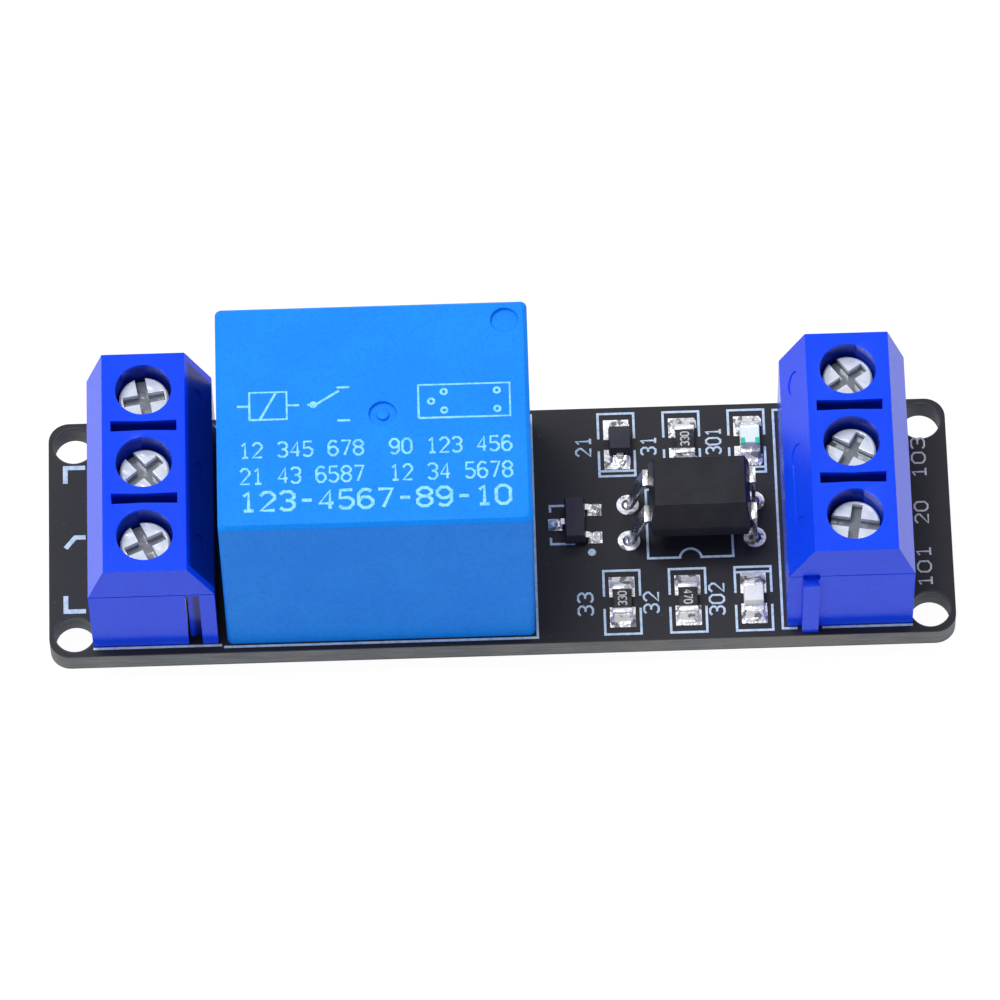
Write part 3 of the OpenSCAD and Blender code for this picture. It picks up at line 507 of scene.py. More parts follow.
class Look(Enum):
    """Every finish on the module, by what it is on."""

    RELAY = Moulding("relay_blue", (0.003, 0.232, 0.93), (0.004, 0.27, 0.96), 0.5,
                     0.014 * MM, 5.0, sheen=0.14)
    PACKAGE = Moulding("package_black", (0.014, 0.014, 0.020), (0.026, 0.026, 0.034), 0.46,
                       0.012 * MM, 7.0, 0.9)
    SMALL_PACKAGE = Moulding("small_package", (0.034, 0.033, 0.050), (0.05, 0.048, 0.062), 0.46,
                             0.012 * MM, 7.0, 0.9)
    BASE = Moulding("relay_base_black", (0.016, 0.016, 0.018), (0.024, 0.024, 0.026), 0.45)
    RESIN = Moulding("sealing_resin", (0.028, 0.028, 0.032), (0.045, 0.045, 0.05), 0.3,
                     0.03 * MM, 1.2, 0.5)
    BOBBIN = Moulding("bobbin_nylon", (0.78, 0.77, 0.70), (0.70, 0.68, 0.60), 0.4)
    LED_BASE = Moulding("led_resin_white", (0.80, 0.80, 0.78), (0.70, 0.71, 0.70), 0.4)
    BOARD_INK = Ink("board_ink", (0.56, 0.70, 0.86), (0.36, 0.48, 0.64))
    END_INK = Ink("end_ink", (0.66, 0.70, 0.70), (0.50, 0.54, 0.55))
    RELAY_INK = Ink("relay_ink", (0.28, 0.72, 0.92), (0.10, 0.50, 0.88))
    VALUE_INK = Ink("value_ink", (0.62, 0.64, 0.66), (0.36, 0.37, 0.40))
    # The blotches on the tin and solder below are painted dark reflections
    PAD = Plating("tinned_pad", (0.90, 0.90, 0.92), (0.62, 0.62, 0.66), 0.34, 0.2, 0.06 * MM, 2.5,
                  painted_reflection_blotch=0.85, metallic=0.5)
    SOLDER = Plating("solder", (0.94, 0.94, 0.95), (0.70, 0.70, 0.74), 0.2, 0.14, 0.08 * MM, 2.6,
                     painted_reflection_blotch=0.8, metallic=0.55)
    JOINT = Plating("fluxed_solder", (0.50, 0.48, 0.47), (0.26, 0.24, 0.235), 0.34, 0.2,
                    0.05 * MM, 3.0, painted_reflection_blotch=0.7)
    CHIP_END = Plating("chip_end_tin", (0.90, 0.90, 0.92), (0.70, 0.70, 0.74), 0.3, 0.2,
                       0.04 * MM, 3.0, painted_reflection_blotch=0.5, metallic=0.5)
    CAGE = Plating("cage_zinc", (0.62, 0.62, 0.64), (0.45, 0.46, 0.48), 0.35, 0.2)
    CONTACT = Plating("contact_brass", (0.70, 0.66, 0.55), (0.58, 0.50, 0.36), 0.3)
    PIN = Plating("tinned_pin", (0.74, 0.74, 0.76), (0.60, 0.60, 0.63), 0.3)
    LEAD = Plating("lead_tin", (0.86, 0.86, 0.88), (0.62, 0.62, 0.66), 0.24, 0.2, 0.02 * MM, 2.0)
    IRON = Plating("soft_iron", (0.52, 0.52, 0.54), (0.40, 0.40, 0.42), 0.4, 0.2,
                   scratch=(0.3, 1.0, 1.0))
    BRONZE = Plating("spring_bronze", (0.72, 0.46, 0.20), (0.58, 0.34, 0.14), 0.28)
    SILVER = Plating("silver_contact", (0.88, 0.87, 0.84), (0.76, 0.74, 0.70), 0.3)
    GLAZE = Lacquer("resistor_glaze", (0.016, 0.016, 0.018), (0.03, 0.03, 0.033), 0.2)
    ENAMEL = Lacquer("coil_enamel", (0.62, 0.24, 0.07), (0.48, 0.16, 0.04), 0.25, 0.8)
    LENS_GREEN = Lacquer("lens_mint", (0.86, 0.94, 0.92), (0.78, 0.92, 0.88), 0.12, coat=0.8)
    LENS_WHITE = Lacquer("lens_white", (0.86, 0.86, 0.84), (0.80, 0.80, 0.80), 0.15, coat=0.6)
    LED_MARK = Lacquer("led_mark_green", (0.02, 0.52, 0.30), (0.06, 0.62, 0.42), 0.3, coat=0.2)


MADE: dict[str, bpy.types.Material] = {}


def material_of(finish: object) -> bpy.types.Material:
    """Gives a finish's material, and makes it the first time.

    Args:
        finish: A finish, or the Look that holds it.

    Returns:
        The material.
    """
    plain = finish.value if isinstance(finish, Look) else finish
    if plain.name not in MADE:
        MADE[plain.name] = plain.build()
    return MADE[plain.name]


# ---------------------------------------------------------------------------
# Meshes
# ---------------------------------------------------------------------------

def evaluated(thing: bpy.types.Object) -> bpy.types.Mesh:
    """Turns an object, with its modifiers, into a plain mesh and removes the object.

    Args:
        thing: A linked object of any kind that has a mesh when evaluated.

    Returns:
        The finished mesh.
    """
    graph = bpy.context.evaluated_depsgraph_get()
    mesh = bpy.data.meshes.new_from_object(thing.evaluated_get(graph), depsgraph=graph)
    bpy.data.objects.remove(thing)
    return mesh


def linked(name: str, data: bpy.types.ID) -> bpy.types.Object:
    """Makes an object for some data and links it to the scene."""
    thing = bpy.data.objects.new(name, data)
    bpy.context.scene.collection.objects.link(thing)
    return thing


def softened(node: str, width: float, wanted: Callable[[bmesh.types.BMEdge], bool] | None = None,
             segments: int = 2) -> bpy.types.Mesh:
    """Copies a CAD node's mesh, merges it and rounds its edges.

    Args:
        node: The CAD node.
        width: The width of the rounding.
        wanted: Says of each sharp edge whether it is rounded. All are by default.
        segments: How many faces go round each edge.

    Returns:
        The rounded copy.
    """
    work = bmesh.new()
    work.from_mesh(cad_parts[node].data)
    bmesh.ops.remove_doubles(work, verts=work.verts, dist=0.0002 * MM)
    bmesh.ops.dissolve_limit(work, angle_limit=math.radians(0.6), verts=work.verts, edges=work.edges)
    for face in work.faces:
        bends = [e.calc_face_angle(0.0) for e in face.edges if len(e.link_faces) == 2]
        face.smooth = face.calc_area() < FLAT_AREA and any(0.02 < b < CREASE for b in bends)
    sharp = [e for e in work.edges if len(e.link_faces) == 2
             and e.calc_face_angle(0.0) > CREASE and (wanted is None or wanted(e))]
    if sharp:
        made = bmesh.ops.bevel(work, geom=sharp, offset=width, segments=segments, profile=0.5,
                               affect="EDGES", clamp_overlap=True)
        for face in made["faces"]:
            face.smooth = True
    mesh = bpy.data.meshes.new(node)
    work.to_mesh(mesh)
    work.free()
    mesh.set_sharp_from_angle(angle=math.radians(35.0))
    thing = linked(node + "_soft", mesh)
    weights = thing.modifiers.new("weighted_normals", "WEIGHTED_NORMAL")
    weights.keep_sharp = True
    return evaluated(thing)


def joined(meshes: Iterable[bpy.types.Mesh], name: str) -> bpy.types.Mesh:
    """Joins several meshes into one."""
    work = bmesh.new()
    for mesh in meshes:
        work.from_mesh(mesh)
    whole = bpy.data.meshes.new(name)
    work.to_mesh(whole)
    work.free()
    return whole


def moved(mesh: bpy.types.Mesh, matrix: Matrix) -> bpy.types.Mesh:
    """Applies a placement to a mesh."""
    mesh.transform(matrix)
    return mesh


def at(x: float, y: float, z: float, turn: float = 0.0) -> Matrix:
    """Gives a placement: a turn about Z in degrees, then a move."""
    return Matrix.Translation((x, y, z)) @ Matrix.Rotation(math.radians(turn), 4, "Z")


class GeometryTree(Graph):
    """A Geometry Nodes tree with named inputs, ready for a modifier."""

    def __init__(self, name: str, inputs: dict[str, tuple[str, object]]) -> None:
        """Makes the tree and its inputs.

        Args:
            name: The tree's name.
            inputs: For each input, its socket type and its default.
        """
        tree = bpy.data.node_groups.new(name, "GeometryNodeTree")
        super().__init__(tree)
        face = tree.interface
        face.new_socket("Geometry", in_out="OUTPUT", socket_type="NodeSocketGeometry")
        face.new_socket("Geometry", in_out="INPUT", socket_type="NodeSocketGeometry")
        self.keys = {}
        for label, (kind, default) in inputs.items():
            socket = face.new_socket(label, in_out="INPUT", socket_type=kind)
            if default is not None:
                socket.default_value = default
            self.keys[label] = socket.identifier
        self.entry = tree.nodes.new("NodeGroupInput")

    def given(self, label: str) -> Value:
        """Gives one of the tree's own inputs."""
        return Value(self, self.entry.outputs[label])

    def finish(self, geometry: Value) -> None:
        """Ends the tree with Realize Instances and Set Material.

        Args:
            geometry: What the tree has made.
        """
        whole = self.add("GeometryNodeRealizeInstances", None, {"Geometry": geometry})
        whole = self.add("GeometryNodeSetMaterial", None,
                         {"Geometry": whole, "Material": self.given("Material")})
        exit_node = self.tree.nodes.new("NodeGroupOutput")
        self.tree.links.new(whole.socket, exit_node.inputs[0])

    def grow(self, start: bpy.types.Mesh | None = None, **values: object) -> bpy.types.Mesh:
        """Runs the tree on a mesh.

        Args:
            start: The mesh that goes in, if the tree reads one.
            values: The tree's inputs, with underscores for spaces.

        Returns:
            The mesh that comes out.
        """
        thing = linked(self.tree.name, start or bpy.data.meshes.new(self.tree.name))
        modifier = thing.modifiers.new("grow", "NODES")
        modifier.node_group = self.tree
        for label, value in values.items():
            modifier[self.keys[label.replace("_", " ")]] = value
        return evaluated(thing)


def solder_tree() -> GeometryTree:
    """Builds the tree for one pillow of solder.

    It lies on a pad, is drawn up at its far end and is lumpy all over.

    Returns:
        The tree, whose solder runs from y = 0 to its length along +Y.
    """
    tree = GeometryTree("solder_pillow", {
        "Width": ("NodeSocketFloat", 1.6 * MM),
        "Length": ("NodeSocketFloat", 0.8 * MM),
        "Rim": ("NodeSocketFloat", 0.1 * MM),
        "Rise": ("NodeSocketFloat", 0.3 * MM),
        "Lump": ("NodeSocketFloat", 0.06 * MM),
        "Seed": ("NodeSocketFloat", 0.0),
        "Material": ("NodeSocketMaterial", None),
    })
    size = tree.combine(1.0, 1.0, 1.0)
    block = tree.add("GeometryNodeMeshCube", None,
                     {"Size": size, "Vertices X": 25, "Vertices Y": 21, "Vertices Z": 2})
    x, y, z = tree.split(tree.add("GeometryNodeInputPosition"))
    along = y + 0.5
    # Round the plan's corners and bring the height down towards the sides
    across = abs(x) * 2.0
    flank = 1.0 - across.ramp(0.62, 1.0)
    toe = along.ramp(0.0, 0.34)
    draw = along.ramp(0.3, 1.05)
    wobble = tree.add("ShaderNodeTexNoise", {"noise_dimensions": "4D"},
                      {"Vector": tree.combine(x * 2.2, y * 1.6, z), "W": tree.given("Seed"),
                       "Scale": 1.6, "Detail": 1.5})
    lump = (wobble - 0.5) * 2.0 * tree.given("Lump")
    height = (tree.given("Rim") + tree.given("Rise") * draw + lump) * flank * toe
    top = height.most(0.008 * MM) * z.ramp(-0.1, 0.1)
    pinch = 1.0 - (1.0 - along.ramp(0.0, 0.5)) * (1.0 - along.ramp(0.0, 0.5)) * 0.16
    place = tree.combine(x * pinch * tree.given("Width"), along * tree.given("Length"), top)
    shaped = tree.add("GeometryNodeSetPosition", None, {"Geometry": block, "Position": place})
    shaped = tree.add("GeometryNodeSetShadeSmooth", None, {"Geometry": shaped, "Shade Smooth": True})
    tree.finish(shaped)
    return tree


def cone_tree() -> GeometryTree:
    """Builds the tree that puts a cone of solder at each point under the board.

    Returns:
        The tree. It reads points with a "reach" attribute, the radius at the board.
    """
    tree = GeometryTree("pin_cones", {
        "Height": ("NodeSocketFloat", 1.0 * MM),
        "Neck": ("NodeSocketFloat", 0.5),
        "Lump": ("NodeSocketFloat", 0.1),
        "Seed": ("NodeSocketInt", 4),
        "Material": ("NodeSocketMaterial", None),
    })
    drum = tree.add("GeometryNodeMeshCylinder", None,
                    {"Vertices": 28, "Side Segments": 10, "Fill Segments": 3,
                     "Radius": 1.0, "Depth": 1.0}, output="Mesh")
    x, y, z = tree.split(tree.add("GeometryNodeInputPosition"))
    drop = 0.5 - z
    hollow = 1.0 - (1.0 - tree.given("Neck")) * (drop ** 0.6)
    wobble = tree.add("ShaderNodeTexNoise", None,
                      {"Vector": tree.combine(x, y, z), "Scale": 1.7, "Detail": 1.0})
    girth = hollow * (1.0 + (wobble - 0.5) * tree.given("Lump") * 2.0)
    place = tree.combine(x * girth, y * girth, drop * -1.0 * tree.given("Height"))
    cone = tree.add("GeometryNodeSetPosition", None, {"Geometry": drum, "Position": place})
    cone = tree.add("GeometryNodeSetShadeSmooth", None, {"Geometry": cone, "Shade Smooth": True})
    reach = tree.add("GeometryNodeInputNamedAttribute", {"data_type": "FLOAT"}, {"Name": "reach"})
    turn = tree.add("FunctionNodeRandomValue", {"data_type": "FLOAT"},
                    {"Min": 0.0, "Max": 6.28, "Seed": tree.given("Seed")})
    spots = tree.add("GeometryNodeInstanceOnPoints", None, {
        "Points": tree.given("Geometry"), "Instance": cone,
        "Rotation": tree.combine(0.0, 0.0, turn), "Scale": tree.combine(reach, reach, 1.0)})
    tree.finish(spots)
    return tree


def stroke_tree() -> GeometryTree:
    """Builds the tree that lays a low, round-backed line of ink along edges.

    Returns:
        The tree, which reads a mesh of edges at the height of the surface.
    """
    tree = GeometryTree("ink_stroke", {
        "Width": ("NodeSocketFloat", 0.14 * MM),
        "Thickness": ("NodeSocketFloat", 0.02 * MM),
        "Floor": ("NodeSocketFloat", 0.0),
        "Material": ("NodeSocketMaterial", None),
    })
    line = tree.add("GeometryNodeMeshToCurve", None, {"Mesh": tree.given("Geometry")})
    ring = tree.add("GeometryNodeCurvePrimitiveCircle", {"mode": "RADIUS"},
                    {"Resolution": 8, "Radius": tree.given("Width") * 0.5})
    tube = tree.add("GeometryNodeCurveToMesh", None,
                    {"Curve": line, "Profile Curve": ring, "Fill Caps": True})
    x, y, z = tree.split(tree.add("GeometryNodeInputPosition"))
    squash = tree.given("Thickness") * 2.0 / tree.given("Width")
    low = tree.given("Floor") + (z - tree.given("Floor")) * squash
    flat = tree.add("GeometryNodeSetPosition", None,
                    {"Geometry": tube, "Position": tree.combine(x, y, low)})
    tree.finish(flat)
    return tree


def winding_tree() -> GeometryTree:
    """Builds the tree for a coil wound turn by turn.

    Returns:
        The tree, whose winding stands on z = 0.
    """
    tree = GeometryTree("coil_winding", {
        "Radius": ("NodeSocketFloat", 4.6 * MM),
        "Height": ("NodeSocketFloat", 6.0 * MM),
        "Turns": ("NodeSocketFloat", 40.0),
        "Wire": ("NodeSocketFloat", 0.16 * MM),
        "Material": ("NodeSocketMaterial", None),
    })
    radius = tree.given("Radius") - tree.given("Wire") * 0.5
    spiral = tree.add("GeometryNodeCurveSpiral", None, {
        "Resolution": 40, "Rotations": tree.given("Turns"), "Start Radius": radius,
        "End Radius": radius, "Height": tree.given("Height")})
    ring = tree.add("GeometryNodeCurvePrimitiveCircle", {"mode": "RADIUS"},
                    {"Resolution": 6, "Radius": tree.given("Wire") * 0.5})
    wire = tree.add("GeometryNodeCurveToMesh", None,
                    {"Curve": spiral, "Profile Curve": ring, "Fill Caps": True})
    wire = tree.add("GeometryNodeSetShadeSmooth", None, {"Geometry": wire, "Shade Smooth": True})
    tree.finish(wire)
    return tree


# ---------------------------------------------------------------------------
# Lettering
# ---------------------------------------------------------------------------

Strokes = list[list[tuple[float, float]]]

# Strokes of plain digits, in a cell 4 wide and 6 high
DIGITS: dict[str, Strokes] = {
    " ": [],
    "-": [[(0.6, 3), (3.4, 3)]],
    "0": [[(0, 1.2), (0, 4.8), (1.2, 6), (2.8, 6), (4, 4.8), (4, 1.2), (2.8, 0), (1.2, 0), (0, 1.2)]],
    "1": [[(0.8, 4.8), (2.2, 6), (2.2, 0)], [(0.8, 0), (3.6, 0)]],
    "2": [[(0, 4.8), (1.2, 6), (2.8, 6), (4, 4.8), (4, 3.8), (0, 0), (4, 0)]],
    "3": [[(0, 5.2), (1, 6), (2.9, 6), (4, 5), (4, 4), (3, 3.1), (1.6, 3.1)],
          [(3, 3.1), (4, 2.1), (4, 1), (2.9, 0), (1, 0), (0, 0.8)]],
    "4": [[(3, 0), (3, 6), (0, 1.8), (4, 1.8)]],
    "5": [[(3.8, 6), (0.4, 6), (0.2, 3.4), (2.6, 3.6), (4, 2.6), (4, 1.2), (2.8, 0), (1.1, 0),
           (0, 0.8)]],
    "6": [[(3.6, 5.4), (2.6, 6), (1.2, 6), (0, 4.6), (0, 1.2), (1.2, 0), (2.8, 0), (4, 1.2),
           (4, 2.4), (2.8, 3.5), (1.2, 3.5), (0, 2.4)]],
    "7": [[(0, 6), (4, 6), (1.4, 0)]],
    "8": [[(1.2, 3.2), (0, 4.2), (0, 5), (1.2, 6), (2.8, 6), (4, 5), (4, 4.2), (2.8, 3.2),
           (1.2, 3.2), (0, 2.2), (0, 1), (1.2, 0), (2.8, 0), (4, 1), (4, 2.2), (2.8, 3.2)]],
    "9": [[(0.4, 0.6), (1.4, 0), (2.8, 0), (4, 1.4), (4, 4.8), (2.8, 6), (1.2, 6), (0, 4.8),
           (0, 3.6), (1.2, 2.5), (2.8, 2.5), (4, 3.6)]],
}
DIGIT_STEP = 5.6
DIGIT_HIGH = 6.0


def inked(strokes: Strokes, bold: float, thick: float, tree: GeometryTree,
          look: Look) -> bpy.types.Mesh:
    """Draws lines of ink of even width on the plane z = 0.

    Args:
        strokes: The lines, each a list of points in metres.
        bold: The width of a line.
        thick: How far the ink stands up.
        tree: The ink stroke tree.
        look: The ink's finish.

    Returns:
        The lines' mesh.
    """
    points, edges = [], []
    for stroke in strokes:
        first = len(points)
        points += [(x, y, 0.0) for x, y in stroke]
        edges += [(i, i + 1) for i in range(first, len(points) - 1)]
    mesh = bpy.data.meshes.new("strokes")
    mesh.from_pydata(points, edges, [])
    return tree.grow(mesh, Width=bold, Thickness=thick, Material=material_of(look))


def number(text: str, length: float, height: float) -> Strokes:
    """Gives the strokes of a plain number, centred on the origin and reading along +X.

    Args:
        text: The digits.
        length: The length from the first stroke's middle to the last one's.
        height: The height between the middles of the top and bottom strokes.

    Returns:
        The strokes, in metres.
    """
    wide = DIGIT_STEP * (len(text) - 1) + 4.0
    return [[(length * ((x + DIGIT_STEP * place) / wide - 0.5), height * (y / DIGIT_HIGH - 0.5))
             for x, y in stroke] for place, mark in enumerate(text) for stroke in DIGITS[mark]]


def boxed(x: float, y: float, width: float, height: float) -> list[tuple[float, float]]:
    """Gives a rectangle round a centre as one closed stroke."""
    return [(x + i * width / 2, y + j * height / 2)
            for i, j in ((-1, -1), (1, -1), (1, 1), (-1, 1), (-1, -1))]


def ringed(x: float, y: float, radius: float, points: int = 12) -> list[tuple[float, float]]:
    """Gives a circle as one closed stroke."""
    return [(x + radius * math.cos(i * math.tau / points), y + radius * math.sin(i * math.tau / points))
            for i in range(points + 1)]


def coil_figure(width: float, height: float, x: float) -> Strokes:
    """Draws the plain circuit symbol of a relay coil, centred at x."""
    body = width * 0.3
    return [boxed(x, 0, 2 * body, height), [(x - body * 0.45, -height / 2), (x + body * 0.45, height / 2)],
            [(x - width / 2, 0), (x - body, 0)], [(x + body, 0), (x + width / 2, 0)]]


def contact_figure(width: float, height: float, x: float) -> Strokes:
    """Draws the plain circuit symbol of a changeover contact, centred at x."""
    left, right, top = x - width / 2, x + width / 2, height / 2
    return [[(left, 0), (left + width * 0.2, 0), (right - width * 0.25, top * 0.8)],
            [(right, top), (right - width * 0.3, top)], [(right, -top), (right - width * 0.3, -top)],
            ringed(left + width * 0.14, 0, height * 0.07)]


def pin_figure(width: float, height: float, x: float) -> Strokes:
    """Draws a plain plan of a relay's five pins, centred at x."""
    spots = ((-0.36, 0.0), (-0.22, 0.28), (-0.22, -0.28), (0.36, 0.28), (0.36, -0.28))
    return [boxed(x, 0, width, height)] + [ringed(x + u * width, v * height, height * 0.08)
                                          for u, v in spots]


# ---------------------------------------------------------------------------
# Sub-assemblies
# ---------------------------------------------------------------------------

class SubAssembly:
    """What the sub-assemblies share: dressing CAD nodes and adding pieces."""

    def dress(self, finish: object, *nodes: str) -> None:
        """Gives CAD nodes a finish.

        Args:
            finish: The finish or its Look.
            nodes: The nodes' names.
        """
        for node in nodes:
            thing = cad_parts[node]
            if not thing.material_slots:
                thing.data.materials.append(None)
            for place in thing.material_slots:
                place.material = material_of(finish)
            log.info("dressed %s with %s", node, material_of(finish).name)

    def add(self, name: str, mesh: bpy.types.Mesh, finish: object, slot: str,
            body: str = BOARD_BODY, replaces: Sequence[str] = ()) -> bpy.types.Object:
        """Adds a piece that rides on a body.

        Args:
            name: The piece's name.
            mesh: Its mesh, in place.
            finish: Its finish or Look.
            slot: The record's material slot. Not used.
            body: The body that it rides on.
            replaces: The CAD nodes that it stands for.

        Returns:
            The new object.
        """
        piece = linked(name, mesh)
        mesh.materials.clear()
        mesh.materials.append(material_of(finish))
        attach(piece, body)
        if replaces:
            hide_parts(*replaces)
        log.info("added %s, %d faces, on %s", name, len(mesh.polygons), body)
        return piece


@dataclass
class CircuitBoard(SubAssembly):
    """The board with its mask, print, pads, plain numbers and the solder under its pins."""

    hole_r: float = 1.25 * MM
    hole_inset: float = 1.6 * MM
    label_high: float = 0.9 * MM
    label_bold: float = 0.16 * MM
    label_gap: float = 2.3 * MM
    end_high: float = 0.82 * MM
    end_bold: float = 0.14 * MM
    end_gap: float = 1.82 * MM
    ink: float = 0.03 * MM

    def build(self) -> None:
        """Builds and dresses the board's pieces."""
        low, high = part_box("circuit_board")
        self.top = high.z
        self.under = low.z
        mask = BoardMask("solder_mask", (0.0130, 0.0130, 0.0190), (0.29, 0.31, 0.32),
                         (0.31, 0.28, 0.24), high.z - low.z, low.z,
                         high.x - self.hole_inset, high.y - self.hole_inset, self.hole_r)
        self.dress(mask, "circuit_board")
        self.dress(Look.BOARD_INK, "printed_lines")
        self.dress(Look.PAD, "solder_pads")
        self.labels()
        self.cones()

    def labels(self) -> None:
        """Prints the plain numbers beside the chips and the input terminal."""
        tree = stroke_tree()
        chips = [("21", "diode_body", -0.10, 1.3), ("31", "resistor_1", -0.15, 1.25),
                 ("301", "led_base_1", 0.05, 1.8), ("33", "resistor_3", -0.07, 1.55),
                 ("32", "resistor_2", -0.08, 1.45), ("302", "led_base_2", 0.04, 2.2)]
        words = []
        for text, node, lift, length in chips:
            low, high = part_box(node)
            word = inked(number(text, length * MM, self.label_high), self.label_bold, self.ink,
                         tree, Look.BOARD_INK)
            words.append(moved(word, at((low.x + high.x) / 2 - self.label_gap,
                                        (low.y + high.y) / 2 + lift * MM, self.top, 90)))
        self.add("chip_numbers", joined(words, "chip_numbers"), Look.BOARD_INK, "print_ink")
        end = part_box("circuit_board")[1].x - self.end_gap
        words = []
        for text, y, length in (("103", 4.02, 2.8), ("20", 0.13, 1.5), ("101", -3.69, 2.8)):
            word = inked(number(text, length * MM, self.end_high), self.end_bold, self.ink,
                         tree, Look.END_INK)
            words.append(moved(word, at(end, y * MM, self.top, 90)))
        self.add("input_numbers", joined(words, "input_numbers"), Look.END_INK, "print_ink")

    def cones(self) -> None:
        """Puts a cone of solder round each pin under the board."""
        low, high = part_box("pin_solder")
        source = bmesh.new()
        source.from_mesh(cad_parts["pin_solder"].data)
        bmesh.ops.remove_doubles(source, verts=source.verts, dist=0.0002 * MM)
        spots = []
        for island in islands(source):
            rim = [v.co for v in island if abs(v.co.z - high.z) < 0.01 * MM]
            centre = sum(rim, Vector()) / len(rim)
            spots.append((centre, max((v - centre).length for v in rim)))
        source.free()
        points = bpy.data.meshes.new("cone_points")
        points.from_pydata([tuple(c) for c, _ in spots], [], [])
        reach = points.attributes.new("reach", "FLOAT", "POINT")
        reach.data.foreach_set("value", [r for _, r in spots])
        cones = cone_tree().grow(points, Height=high.z - low.z, Material=material_of(Look.SOLDER))
        self.add("pin_solder_joints", cones, Look.SOLDER, "solder", replaces=["pin_solder"])


def islands(work: bmesh.types.BMesh) -> list[list[bmesh.types.BMVert]]:
    """Splits a mesh's points into the groups that its edges join."""
    left = set(work.verts)
    groups = []
    while left:
        group, edge_of = [], [left.pop()]
        while edge_of:
            vert = edge_of.pop()
            group.append(vert)
            for edge in vert.link_edges:
                other = edge.other_vert(vert)
                if other in left:
                    left.remove(other)
                    edge_of.append(other)
        groups.append(group)
    return groups


class Side(Enum):
    """The two ends of the board, with the side's direction along X."""

    LEFT = -1
    RIGHT = 1

    @property
    def label(self) -> str:
        """The side's word in the nodes' names."""
        return self.name.lower()


@dataclass
class TerminalBlock(SubAssembly):
    """One three-pole screw terminal: housing, screws, cages and contacts."""

    side: Side
    edge: float = 0.1 * MM
    shortest: float = 0.9 * MM
    well: float = 2.0 * MM
    rows: float = 7.1 * MM
    inner_run: float = 1.56 * MM
    recess: float = 0.2 * MM

    def build(self) -> None:
        """Builds and dresses the block."""
        side = self.side.label
        housing = f"{side}_housing"
        screw_low, screw_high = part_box(f"{side}_screw_2")
        inner_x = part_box(housing)[1].x - self.inner_run
        # Painted shade in the wells and slots; the left block also gets a painted shadow of the relay on
        # its inner slope
        plastic = HousingPlastic(f"{side}_terminal_blue", (0.005, 0.066, 0.95),
                                 (0.004, 0.055, 0.88), 0.22, sheen=0.17,
                                 centre_x=(screw_low.x + screw_high.x) / 2, half_x=self.well,
                                 half_y=self.rows, top=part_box(housing)[1].z, painted_shadow_x=inner_x,
                                 painted_shadow_strength=0.95 if self.side is Side.LEFT else 0.0)
        mesh = softened(housing, self.edge, self.long_outer_edge)
        self.add(f"{side}_terminal_housing", mesh, plastic, "terminal_blue", replaces=[housing])
        self.dress(Look.CONTACT, f"{side}_contact_bars")
        self.dress(Look.PIN, f"{side}_contact_pins")
        # The screws get painted shade below their heads' tops, down in the recess
        plating = Plating("screw_plating", (0.84, 0.89, 0.95), (0.55, 0.62, 0.76), 0.14, 0.12,
                          0.06 * MM, 1.3, painted_shade_z=screw_high.z - self.recess,
                          metallic=0.3)
        for pole in range(1, POLES + 1):
            screw = f"{side}_screw_{pole}"
            mesh = softened(screw, 0.05 * MM)
            self.add(f"{side}_clamp_screw_{pole}", mesh, plating, "screw_steel", screw, [screw])
            self.dress(Look.CAGE, f"{side}_cage_{pole}")

    def long_outer_edge(self, edge: bmesh.types.BMEdge) -> bool:
        """Says whether an edge of the housing is long enough to be rounded."""
        return edge.calc_length() > self.shortest


